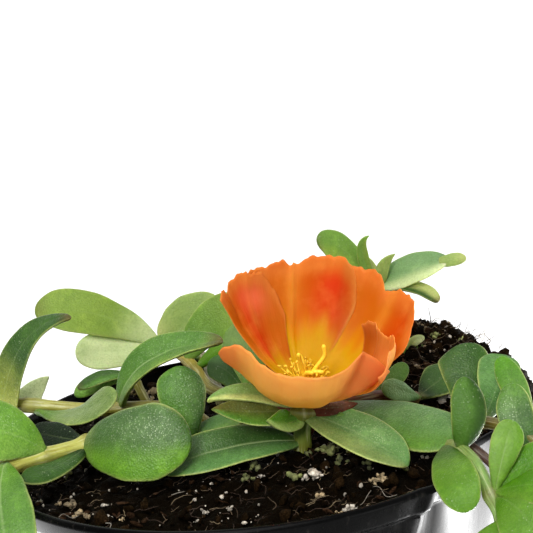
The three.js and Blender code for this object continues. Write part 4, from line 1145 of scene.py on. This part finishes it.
# Hangs over the rim at the front right, with the youngest, brightest leaves.
SHOOTS["shoot_right_low"] = shoot(
    [(13, -9.5, 77), (19, -15, 84.5), (27, -21, 87.5), (35, -29, 89.2), (37, -38, 89.9), (38, -43.5, 87.9),
     (39.7, -48.5, 81.5)],
    (1.4, 1), "olive mint",
    leaf((35.9, -33, 90), (37.9, -33, 95.8), (38.4, -29, 101.8), 6.3, (0, -0.9, 0.4), "mid deep near",
         rim=0.7, vein=0.03, frost=0.1, **DOMED),
    leaf((34, -30.5, 89.4), (32.8, -44, 89.6), (34.2, -49.5, 85.5), 7.5, (-0.2, -0.9, 0.4), "bright deep",
         rim=0.7, vein=0.05, **OVAL),
    leaf((39, -45.5, 86), (41, -45, 92.7), (43.7, -42, 97.3), 5.3, (-0.2, -0.95, 0.1), "spring bright near",
         taper=0.85, vein=0.4),
    leaf((39.2, -45.3, 86.7), (44.5, -45.5, 90.5), (49.5, -47, 92), 6.5, (-0.2, -0.7, 0.7), "fresh"),
    leaf((39.3, -45.8, 86.3), (44.5, -51, 89), (49.5, -54, 89), 8, (-0.1, -0.5, 0.85), "fresh bright near"),
    leaf((39.5, -46.5, 85.5), (41.5, -54, 86), (44, -60, 81.5), 10, (-0.3, -0.6, 0.7), "bright fresh"),
    leaf((39.9, -48, 82.5), (36, -54, 79), (33, -58, 72), 9, (-0.3, -0.8, 0.4), "bright"),
    leaf((39.9, -48, 82.5), (46.5, -51, 79), (51, -53, 73), 8.5, (0.6, -0.5, 0.4), "fresh"),
    leaf((40, -48.3, 81.8), (41, -53, 73), (41, -55, 65), 7.5, (0.1, -1, 0.2), "lime"),
    young=True,
    twig=[(36.5, -28.5, 90), (38.6, -30.2, 89), (41, -32, 86.9), (43.5, -34, 84)],
)

# Runs level to the right rim, with broad dark leaves held upright.
SHOOTS["shoot_right_high"] = shoot(
    [(16, -2, 78), (23, -7, 86), (30, -12, 88.3), (37.5, -20, 90.3), (43.5, -29, 92.3), (48.5, -35, 91),
     (53.5, -39.5, 84)],
    (1.4, 1), "red olive",
    leaf((38, -20.8, 90.4), (41.5, -13.5, 96.5), (42, -8, 101.5), 10, (-0.1, -0.85, 0.5), "deep mid",
         cup=-0.11, taper=0.95, round=2.6, vein=0.05),
    leaf((41.5, -26, 91.7), (46.5, -17.5, 96), (48.5, -11, 99.5), 8.5, (0.1, -0.85, 0.5), "blue deep"),
    leaf((48.6, -34.5, 91), (48.2, -25.5, 96.6), (47.3, -18.5, 101.4), 5, (-0.2, -0.85, 0.5),
         "mid fresh tip", rim=0.7, **OVAL),
    leaf((46.8, -36, 88), (46.5, -33, 94.1), (46.5, -28.5, 99.3), 6.4, (-0.3, -0.8, 0.4), "deep mid tip",
         rim=0.9, frost=1, **OVAL),
    leaf((49.5, -36, 90), (56, -33.5, 92), (63, -33, 89.5), 9, (0.2, -0.3, 0.9), "mid"),
    leaf((53, -39, 85), (58.5, -43, 84.5), (64, -47, 79), 9, (0.5, -0.4, 0.7), "fresh"),
    leaf((53.3, -39.3, 84.5), (56.5, -41, 77), (58, -42, 69), 8, (0.8, -0.6, 0.1), "lime"),
)

# Stands up behind the flower.
SHOOTS["shoot_back_top"] = shoot(
    [(24, 20, 80), (26, 20, 91), (28.5, 18.7, 101), (30.5, 17, 109)],
    (1.3, 1.1), "olive mint",
    leaf((29.8, 17.5, 108), (23.6, 17.3, 117), (18, 16.5, 119.4), 6.6, (0.1, -0.8, 0.5), "spring lime near",
         rust=0.4),
    leaf((30.5, 17, 108.5), (38, 14, 112.2), (45.2, 12, 113.9), 7.6, (0, -0.7, 0.7), "ice milk near",
         taper=0.6, round=1.3, point=0.9, cup=0.3),
    leaf((42.6, 12.4, 113.5), (45.2, 11.5, 114), (48, 11, 114.1), 2.7, (0, -0.9, 0.3), "pale cream tip",
         taper=0.15, round=4, vein=0),
    leaf((30.5, 17, 108), (36.8, 12, 108.8), (41, 8, 106.2), 3.8, (0, -0.5, 0.85), "cream deep near",
         cup=0.25, rust=0.6),
    leaf((30, 17.3, 108), (27, 15.7, 116.5), (28.9, 15, 120.3), 2.6, (0.2, -0.9, 0.1), "spring lime far",
         **BRACT),
    leaf((30.5, 17, 108.5), (31.3, 15.7, 113), (33.8, 14, 116.1), 2.8, (-0.2, -0.9, 0.3), "pale mint",
         **BRACT),
    leaf((30.5, 17.5, 107.5), (28.5, 18.5, 111.5), (25.5, 19, 114.3), 5, (0.1, -0.8, 0.5), "pale cream far"),
    leaf((29.5, 18, 105), (33, 25, 109), (36, 32, 108), 9, (0, 0.2, 0.95), "lime"),
    leaf((29.3, 18.2, 103), (23, 23.5, 106), (17, 29, 104), 8.5, (-0.2, 0.2, 0.95), "mint"),
    young=True,
)

# Trails over the rim at the back.
SHOOTS["shoot_back"] = shoot(
    [(6, 9, 78), (9, 17, 88), (13, 30, 91.5), (15, 44, 93), (15, 56, 90), (14, 63, 80)],
    (1.4, 1), "olive tan",
    leaf((11, 24, 90.5), (3.5, 29, 94), (-4, 33, 94), 10, (-0.2, 0, 1), "mid mint"),
    leaf((13, 30, 91.5), (21.5, 33, 97), (29, 38, 99), 10, (0, 0, 1), "blue mid"),
    leaf((15, 43, 93), (7, 47, 97), (-1, 50, 97), 10.5, (0, 0.1, 1), "mid mint far"),
    leaf((15, 44, 93), (23.5, 49, 97), (32, 52, 96), 10.5, (0.1, 0.2, 1), "mint mid"),
    leaf((15, 56, 90), (7, 62, 92), (0, 67, 89), 10, (-0.2, 0.4, 0.9), "bright lime"),
    leaf((15, 56, 90), (22.5, 62, 91), (30, 66, 87), 10, (0.2, 0.4, 0.9), "fresh lime"),
    leaf((14, 62.5, 81), (15, 69, 78), (16, 73, 71), 9, (0, 0.8, 0.5), "lime"),
    leaf((14, 62.8, 80.5), (8, 65, 73), (4, 66, 66), 8, (-0.3, 1, 0.1), "lime pale"),
)

# A shorter one beside it.
SHOOTS["shoot_back_low"] = shoot(
    [(-4, 12, 78), (-6, 20, 87.5), (-8, 33, 90.5), (-11, 46, 91.5), (-14, 55, 88), (-15, 60, 79)],
    (1.3, 0.9), "olive tan",
    leaf((-9, 38, 91), (-16, 43, 94), (-23, 46, 93), 9.5, (-0.2, 0, 1), "mid blue"),
    leaf((-12, 49, 91), (-5, 55, 93.5), (1, 60, 92), 8.5, (0.1, 0.3, 0.9), "mint mid"),
    leaf((-14, 55, 88), (-21, 59, 90), (-28, 62, 86), 9.5, (-0.3, 0.4, 0.9), "bright"),
    leaf((-15, 59.5, 80), (-10, 64, 77), (-7, 67, 70), 8, (0.3, 0.9, 0.3), "lime"),
    leaf((-15, 59.8, 79.5), (-20, 62, 73), (-23, 63, 66), 8, (-0.4, 0.9, 0.2), "lime"),
)


# A seedling on the heap.
SEEDLING = shoot(
    [(35.6, 16.5, 91), (35.5, 16, 92.6), (35.6, 15.5, 93.8)],
    (0.4, 0.35), "mint spring",
    leaf((35.6, 15.6, 93.6), (35.4, 14.8, 96.2), (38.6, 14.6, 97.2), 2.4, (0.5, -0.8, 0.1), "cream milk tip",
         cup=0.4),
    leaf((35.6, 15.6, 93.6), (36.8, 14.8, 94.8), (38.4, 14.6, 95), 2.2, (-0.1, -0.7, 0.7), "mint cream near",
         cup=0.3),
    leaf((35.6, 15.6, 93.6), (34.6, 14.8, 94.8), (33.8, 14.6, 96.2), 2.2, (0.3, -0.8, 0.5), "mid"),
)


def add_shoot(skin, grown, leaf_seed, leaf_step, stem_seed):
    """A shoot's leaves, stem and twig. The seeds vary the waves of each leaf and the ribs of the stem."""
    for i, look in enumerate(grown["leaves"]):
        add_leaf(skin, look, leaf_seed + leaf_step * i)
    add_stem(skin, grown["stem"], grown["radii"], grown["bark"], grown["leaves"], stem_seed)
    if grown["twig"]:
        add_stem(skin, grown["twig"], (0.9, 0.8), ("umber", "umber"), (), 3)


def make_shoots():
    old_leaf = waxy_leaf("waxy_leaf", glow=0.12, depth=0.5, passing=0.05, mottle=0.65)
    young_leaf = waxy_leaf("young_leaf", glow=0.2, depth=1.0, passing=0.32, mottle=0.35)
    bark = fleshy_stem()
    for number, (name, grown) in enumerate(SHOOTS.items()):
        skin = Skin()
        add_shoot(skin, grown, 1.7 * number, 2.3, 0.8 * number)
        skin.piece(name + "_fine", [young_leaf if grown["young"] else old_leaf, bark], "foliage", name)
    skin = Skin()
    add_shoot(skin, SEEDLING, 0, 1.1, 0.5)
    skin.piece("seedling", [young_leaf, bark], "foliage")


# ---------- the flower ----------
FLOWER_BASE = np.array([10.5, -13.0, 97.8])
FLOWER_TOP = np.array([13.8, -19.0, 114.6])
CUP_RADIUS, CUP_DEPTH = 19.5, 17.4
FLOWER_AXIS = unit(FLOWER_TOP - FLOWER_BASE)
FLOWER_RIGHT = unit(np.array([1.0, 0, 0]) - FLOWER_AXIS * FLOWER_AXIS[0])
FLOWER_BACK = np.cross(FLOWER_AXIS, FLOWER_RIGHT)
PETAL_ROWS, PETAL_COLUMNS = 44, 72
PETAL_THICKNESS = 0.3

YELLOW = colour(212, 164, 0)
AMBER = colour(214, 142, 4)
ORANGE = colour(206, 110, 18)
RED = colour(212, 62, 6)
PINK = colour(250, 130, 96)
CORAL = colour(236, 146, 80)
APRICOT = colour(250, 196, 78)
SALMON = colour(246, 176, 92)
INNER_TINT, OUTER_TINT = (0.9, 0.88, 0.66), (1.06, 1.1, 1)


def in_flower(angle, out, height):
    """Points of the flower: angle round it (0 at the right, a quarter turn at the back), out from its axis,
    and height above its base."""
    angle, out, height = (np.asarray(v, float)[..., None] for v in (angle, out, height))
    return (
        FLOWER_BASE
        + FLOWER_RIGHT * out * np.cos(angle)
        + FLOWER_BACK * out * np.sin(angle)
        + FLOWER_AXIS * height
    )


# angle: a petal's middle, in degrees round the flower. reach: its length, as a share of the cup's. right,
# left: its two sides (seen from the flower's middle, right is clockwise), each with half width in degrees,
# the share of it at the claw and how late it spreads, and how far and how sharply the corner is rounded off.
# notch, peak: depth or height, middle and width of a dip and a bump in the edge. wave, phase: height and
# shift of the ruffles. lean, rise: how far the edge moves out and up at even steps from right to left. tuck:
# how far each side's edge lies outside (or, below 0, inside) the cup. blush: middle and strength of the red
# area. pink, pale: strength of a pink and of a pale area. warm: how much further down the orange reaches.
PETALS = [
    {
        "angle": 125, "right": (24, 0.95, 0.6, 0.34, 2.2), "left": (26, 0.65, 4, 0.07, 4), "reach": 1,
        "notch": (0.06, 0.6, 0.09), "peak": (0, 0, 1), "wave": 0.3, "phase": 0.4,
        "lean": (-0.2, -0.3, -0.6, 0.7, -0.4), "rise": (0, -0.5, -2.0, -2.2, -1.6), "tuck": (-0.3, 0),
        "blush": (0.1, 1), "pink": 0.75, "warm": 0.24,
    },
    {
        "angle": 94, "right": (43, 0.8, 0.6, 0.24, 9), "left": (35, 0.85, 0.6, 0.16, 6), "reach": 1,
        "notch": (0.05, 0.03, 0.11), "peak": (1.3, 0.03, 0.04), "wave": 0.15, "phase": 2.1,
        "lean": (0, 0.5, 0, 0, 0), "rise": (0, 1.5, -0.4, -1.7, -0.4), "tuck": (-0.3, 0.7),
        "blush": (-0.6, 1),
    },
    {
        "angle": 28, "right": (35, 0.7, 0.6, 0.2, 3), "left": (38, 0.7, 0.6, 0.02, 3), "reach": 1,
        "notch": (0.05, 0.2, 0.16), "peak": (0, 0, 1), "wave": 0.2, "phase": 3.9,
        "lean": (0, 0.3, 0, 0, 0), "rise": (0, 1.4, 0.5, 0.5, 0.8), "tuck": (0, 0.3),
        "blush": (-0.45, 0.6),
    },
    {
        "angle": -20, "right": (37, 0.2, 2.0, 0.04, 4), "left": (30, 0.8, 0.6, 0.04, 6), "reach": 1,
        "notch": (0.03, 0.2, 0.1), "peak": (0.8, -0.2, 0.16), "wave": 0.25, "phase": 1.2,
        "lean": (2.4, -1.4, -4.8, -7.2, -8.8), "rise": (-1.2, -0.5, -1.1, -1.9, -2.0), "tuck": (-3.2, -0.7),
        "blush": (0.3, 0.7), "pale": 0.4, "pink": 0.4,
    },
    {
        "angle": -112, "right": (48, 1.8, 1, 0.1, 6), "left": (82, 0.7, 1, 0.1, 8), "reach": 0.88,
        "notch": (0.02, 0, 0.22), "peak": (3.6, -0.72, 0.28), "wave": 0.2, "phase": 5,
        "lean": (0.5, -1.25, -3, -3.6, -4.1, -3.9, -4.5, -3.3, 1.6),
        "rise": (0.2, -0.1, -0.4, -0.4, -0.4, -0.3, -1.0, 3.0, -0.5), "tuck": (0.7, -3.2),
        "blush": (0.9, 0.5),
    },
]


def through(values, v):
    """The value at v of the smooth curve with the given values at even steps from v = -1 to 1."""
    values = np.array(values, float)
    at = (np.clip(v, -1, 1) + 1) / 2 * (len(values) - 1)
    i = np.minimum(len(values) - 2, np.floor(at)).astype(int)
    return values[i] + (values[i + 1] - values[i]) * smooth(at - i, 0, 1)


def petal_points(petal, u, v):
    """Points of a petal's middle surface, from its claw (u = 0) to its edge (u = 1), v from -1 to 1."""
    half, claw, late, drop, power = (np.where(v < 0, a, b) for a, b in zip(petal["right"], petal["left"]))
    depth, middle, width = petal["notch"]
    phase = petal["phase"]
    frill = 0.008 * np.sin(5 * v + 3 * phase) + 0.006 * np.sin(13 * v - phase)
    frill = frill + 0.005 * np.sin(31 * v + phase) + 0.003 * np.sin(57 * v - 2 * phase)
    edge = petal["reach"] * (1 - drop * abs(v) ** power - depth * bell(v, middle, width) + frill)
    # The cup's section is flat near the axis and steeper towards the edge.
    inward = 0.04 + (edge - 0.04) * u
    out = CUP_RADIUS * (1 - np.maximum(0, 1 - inward) ** 1.35) ** 0.95
    height = CUP_DEPTH * np.maximum(0, inward) ** 2.1
    angle = np.radians(petal["angle"] + half * (claw + (1 - claw) * np.maximum(0, u) ** late) * v)
    far = np.maximum(0, u) ** 2
    ruffle = petal["wave"] * far * np.sin(2.6 * v * math.pi + phase)
    tuck = abs(v) * np.where(v < 0, *petal["tuck"]) * np.maximum(0, u)
    radius = out + tuck + far * through(petal["lean"], v) + 0.5 * ruffle
    lift, middle, width = petal["peak"]
    height = height + far * (through(petal["rise"], v) + lift * bell(v, middle, width)) + 0.6 * ruffle
    return in_flower(angle, np.maximum(0.6, radius), height)


def petal_tones(petal, u, v):
    """The colours of the inner and the outer side."""
    middle, strength = petal["blush"]
    uneven = 0.035 * np.sin(7 * v + petal["phase"]) + 0.02 * np.sin(17 * v - 2 * petal["phase"])
    height = u + uneven + petal.get("warm", 0)
    inner = mixed(YELLOW, AMBER, smooth(height, 0.42, 0.58))
    inner = mixed(inner, ORANGE, smooth(height, 0.52, 0.74))
    red = strength * bell(v, middle, 0.36) * smooth(height, 0.5, 0.7) * (1 - smooth(u, 0.86, 0.98))
    inner = mixed(inner, RED, red)
    inner = mixed(inner, APRICOT, 0.25 * bell(v, 0.03, 0.12) * smooth(u, 0.45, 0.8))
    inner = mixed(inner, PINK, petal.get("pink", 0) * bell(v, -0.1, 0.4) * bell(u, 0.84, 0.11))
    inner = mixed(inner, SALMON, petal.get("pale", 0) * smooth(u, 0.5, 0.9) * (1 - smooth(v, 0.5, 1)))
    # A pale band along both side edges of the inner face: a painted highlight.
    inner = mixed(inner, SALMON, 0.6 * smooth(abs(v), 0.95, 1.0) * smooth(u, 0.35, 0.6))
    inner = mixed(inner, CORAL, 0.5 * smooth(u, 0.84, 1.0))
    outer = mixed(AMBER, APRICOT, smooth(u, 0.05, 0.35))
    outer = mixed(outer, SALMON, smooth(u, 0.6, 0.95) * 0.5)
    outer = mixed(outer, RED, 0.5 * (1 - smooth(v, -0.9, -0.5)) * smooth(u, 0.3, 0.7))
    outer = mixed(outer, RED, 0.55 * smooth(v, 0.5, 0.85) * smooth(u, 0.2, 0.7))
    # A brighter pink towards the left side of the outer face: partly the petal's redder hue, partly painted
    # light that lifts the shade on the side turned from the lamps.
    outer = mixed(outer, PINK, 0.35 * smooth(v, 0.25, 0.7) * smooth(u, 0.2, 0.7))
    outer = mixed(outer, PINK, 0.2 * smooth(u, 0.5, 0.85) * (1 - smooth(v, 0.2, 0.5)))
    outer = mixed(outer, CORAL, 0.5 * smooth(u, 0.94, 1.0))
    return inner * INNER_TINT, np.minimum(outer * OUTER_TINT, 1)


def add_petal(skin, petal):
    u = np.linspace(0, 1, PETAL_ROWS + 1)[:, None] + np.zeros(PETAL_COLUMNS + 1)
    v = np.linspace(-1, 1, PETAL_COLUMNS + 1)[None, :] + np.zeros((PETAL_ROWS + 1, 1))
    step = 1e-3
    along_u = petal_points(petal, u + step, v) - petal_points(petal, u - step, v)
    along_v = petal_points(petal, u, v + step) - petal_points(petal, u, v - step)
    normal = unit(np.cross(along_u, along_v))
    inner, outer = petal_tones(petal, u, v)
    thin = 0.35 + 0.65 * smooth(np.minimum(1 - u, (1 - abs(v)) * 0.6), 0.0, 0.06)
    middle = petal_points(petal, u, v)
    turned_by = np.arctan2((middle - FLOWER_BASE) @ FLOWER_BACK, (middle - FLOWER_BASE) @ FLOWER_RIGHT)
    folds = 0.07 * np.sin(14 * turned_by) + 0.012 * np.sin(47 * turned_by)
    crumple = 0.3 * bumps(middle.reshape(-1, 3), 4.2).reshape(u.shape)
    middle = middle + normal * ((folds + crumple) * smooth(u, 0.15, 0.7))[..., None]
    place = np.stack([u, v + petal["angle"] / 20, 0 * u], axis=-1)
    half = normal * (thin * PETAL_THICKNESS / 2)[..., None]
    # The cross product of along_u and along_v points to the flower's axis, its inner side.
    upper = np.concatenate([middle + half, place, inner], axis=-1)
    lower = np.concatenate([middle - half, place, outer], axis=-1)
    points, faces = blade(upper, lower)
    skin.add(points[:, :3], faces, points[:, 6:], points[:, 3:6])


def make_petals():
    skin = Skin()
    for petal in PETALS:
        add_petal(skin, petal)
    # The claws stand in a short round foot.
    line = FLOWER_BASE + FLOWER_AXIS * np.array([[-0.6], [-0.2], [0.3], [0.7]])
    skin.add(*tube(line, [1.7, 1.95, 2.1, 1.9], 24), APRICOT)
    skin.piece("petals_fine", [silky_petal()], "petal", "petals")


POLLEN = colour(250, 214, 50)
ANTHER = colour(228, 192, 40)
STAMENS = 36
STAMEN_SEED = 5
GOLDEN_TURN = 2.4  # in radians: each next stamen stands this much further round
STAMEN_LENGTH, THREAD_RADIUS, ANTHER_RADIUS, STYLE_RADIUS = 3.6, 0.13, 0.36, 0.42
BOSS_FORM, BOSS_HEIGHT = (1.9, 1.9, 1.1), 1.6
# The arms of the style: points along each as angle round the flower in degrees, distance out and height.
STYLE_ARMS = [
    [(0, 0.2, 2.0), (180, 0.8, 5.0), (200, 2.0, 8.6)],
    [(0, 0.4, 2.0), (0, 2.0, 5.2), (10, 3.4, 7.6), (20, 3.1, 9.6)],
    [(0, 0.1, 2.0), (100, 1.2, 4.6), (110, 3.2, 6.0)],
    [(0, 0.1, 2.0), (270, 1.2, 4.6), (290, 3.0, 5.8)],
    [(0, 0.1, 2.0), (330, 1.4, 4.4), (340, 3.6, 5.0)],
]


def bent_thread(skin, foot, head, sag, radius, tone):
    """A thread from foot to head, bowed towards sag, with a rounded end."""
    t = np.linspace(0, 1, 9)[:, None]
    line = (1 - t) * foot + t * head + np.sin(math.pi * t) * sag
    radii = radius * np.concatenate([np.ones(7), [1.05, 0.55]])
    skin.add(*tube(line, radii, 7), tone)


def make_stamens():
    random = np.random.default_rng(STAMEN_SEED)
    skin = Skin()
    boss = FLOWER_BASE + FLOWER_AXIS * BOSS_HEIGHT
    skin.add(boss + LUMP_POINTS * BOSS_FORM, [LUMP_FACES], YELLOW)
    for i in range(STAMENS):
        angle = GOLDEN_TURN * i + random.uniform(0, 0.5)
        share = math.sqrt((i + 0.5) / STAMENS)
        length = STAMEN_LENGTH * random.uniform(0.7, 1.15)
        foot = in_flower(angle, 1.1 * share, 1.7)
        head = in_flower(angle, 5.0 * share, 1.6 + length * (1 - 0.35 * share))
        sag = in_flower(angle, 0.5, 0.0) - FLOWER_BASE
        bent_thread(skin, foot, head, sag, THREAD_RADIUS, POLLEN)
        add_lump(skin, random, head, ANTHER_RADIUS, (1.3, 0.75, 0.65), ANTHER, 0.25)
    for arm in STYLE_ARMS:
        spots = [in_flower(math.radians(angle), out, height) for angle, out, height in arm]
        line, at = smooth_path(spots, 0.3)
        radii = STYLE_RADIUS * np.minimum(1, 0.5 + (at[-1] - at) / 0.6)
        skin.add(*tube(line, radii, 10), POLLEN)
    skin.piece("stamens_fine", [pollen_yellow()], "stamen", "stamens")


# ---------- the stage ----------
FLOOR_REACH, FLOOR_DROP = 4.0, 0.0001


def make_floor():
    mesh = bpy.data.meshes.new("floor")
    corners = [(x, y, -FLOOR_DROP) for x in (-FLOOR_REACH, FLOOR_REACH) for y in (-FLOOR_REACH, FLOOR_REACH)]
    mesh.from_pydata(corners, [], [(0, 2, 3, 1)])
    mesh.materials.append(pale_floor())
    linked("floor", mesh)


def aim(lamp, direction):
    lamp.rotation_euler = direction.to_track_quat("-Z", "Y").to_euler()


def add_light(name, place, target, size, power):
    light = bpy.data.lights.new(name, "AREA")
    light.shape = "DISK"
    light.size = size
    light.energy = power
    lamp = linked(name, light)
    lamp.location = place
    aim(lamp, Vector(target) - Vector(place))
    return lamp


# The studio's strength is dim where the view's Y direction is low, towards the camera, and bright behind.
WORLD_FIT = {"From Min": 0.1, "From Max": 0.85, "To Min": 0.25, "To Max": 1.4}


def make_world():
    """A studio that is white behind the plant and dimmer above it and on the camera's side."""
    world = bpy.data.worlds.new("studio")
    bpy.context.scene.world = world
    world.use_nodes = True
    tree = world.node_tree
    direction = tree.nodes.new("ShaderNodeTexCoord")
    parts = tree.nodes.new("ShaderNodeSeparateXYZ")
    strength = tree.nodes.new("ShaderNodeMapRange")
    tree.links.new(direction.outputs["Generated"], parts.inputs[0])
    tree.links.new(parts.outputs["Y"], strength.inputs["Value"])
    for key, value in WORLD_FIT.items():
        strength.inputs[key].default_value = value
    background = tree.nodes["Background"]
    background.inputs["Color"].default_value = (1, 1, 1, 1)
    tree.links.new(strength.outputs["Result"], background.inputs["Strength"])


SUN_STRENGTH, SUN_SPREAD, SUN_DIRECTION = 2.8, math.radians(45), (0.15, 0.5, -1)
# Round lamps: name, place, where it points, size in metres and power in watts.
LAMPS = [
    ("key", (-0.22, -0.6, 0.5), (0, 0, 0.09), 0.2, 3.2),
    ("side", (0.5, 0.22, 0.1), (0.04, 0, 0.07), 0.35, 1.8),
    ("fill", (0.34, -0.36, 0.12), (0.02, -0.02, 0.1), 0.25, 0.6),
]
# Two low discs beside the pot that give only gloss: how far out, back and up they lie, and their power at the
# left and at the right.
GLINT_OUT, GLINT_BACK, GLINT_HEIGHT, GLINT_SIZE = 0.145, 0.05, 0.003, 0.2
GLINT_POWERS = {-1: 0.6, 1: 1.8}


def make_lights():
    sun = bpy.data.lights.new("softbox", "SUN")
    sun.energy = SUN_STRENGTH
    sun.angle = SUN_SPREAD
    aim(linked("softbox", sun), Vector(SUN_DIRECTION))
    for lamp in LAMPS:
        add_light(*lamp)
    for side, power in GLINT_POWERS.items():
        place = (GLINT_OUT * side, GLINT_BACK, GLINT_HEIGHT)
        above = (GLINT_OUT * side, GLINT_BACK, 1)
        glint = add_light("glint", place, above, GLINT_SIZE, power)
        glint.visible_diffuse = False
        glint.visible_camera = False


# The camera, fitted to the photograph: where it stands, and its view's pan, tilt and roll in degrees.
CAMERA_PLACE = (0.0, -0.24025, 0.17044)
CAMERA_PAN, CAMERA_TILT, CAMERA_ROLL = -1.55, -11.99, -6.09
CAMERA_FIELD = 24.0
SENSOR = 36.0


def make_camera():
    data = bpy.data.cameras.new("camera")
    data.sensor_width = SENSOR
    data.lens = SENSOR / 2 / math.tan(math.radians(CAMERA_FIELD / 2))
    data.clip_start = 0.01
    camera = linked("camera", data)
    pan = Matrix.Rotation(math.radians(CAMERA_PAN), 4, "Z")
    tilt = Matrix.Rotation(math.radians(90 + CAMERA_TILT), 4, "X")
    roll = Matrix.Rotation(math.radians(CAMERA_ROLL), 4, "Z")
    camera.matrix_world = Matrix.Translation(CAMERA_PLACE) @ pan @ tilt @ roll
    bpy.context.scene.camera = camera


# ---------- everything ----------
make_camera()
make_world()
make_lights()
make_floor()
make_pot()
make_soil()
make_shoots()
make_petals()
make_stamens()
bpy.context.scene.view_settings.view_transform = "Standard"
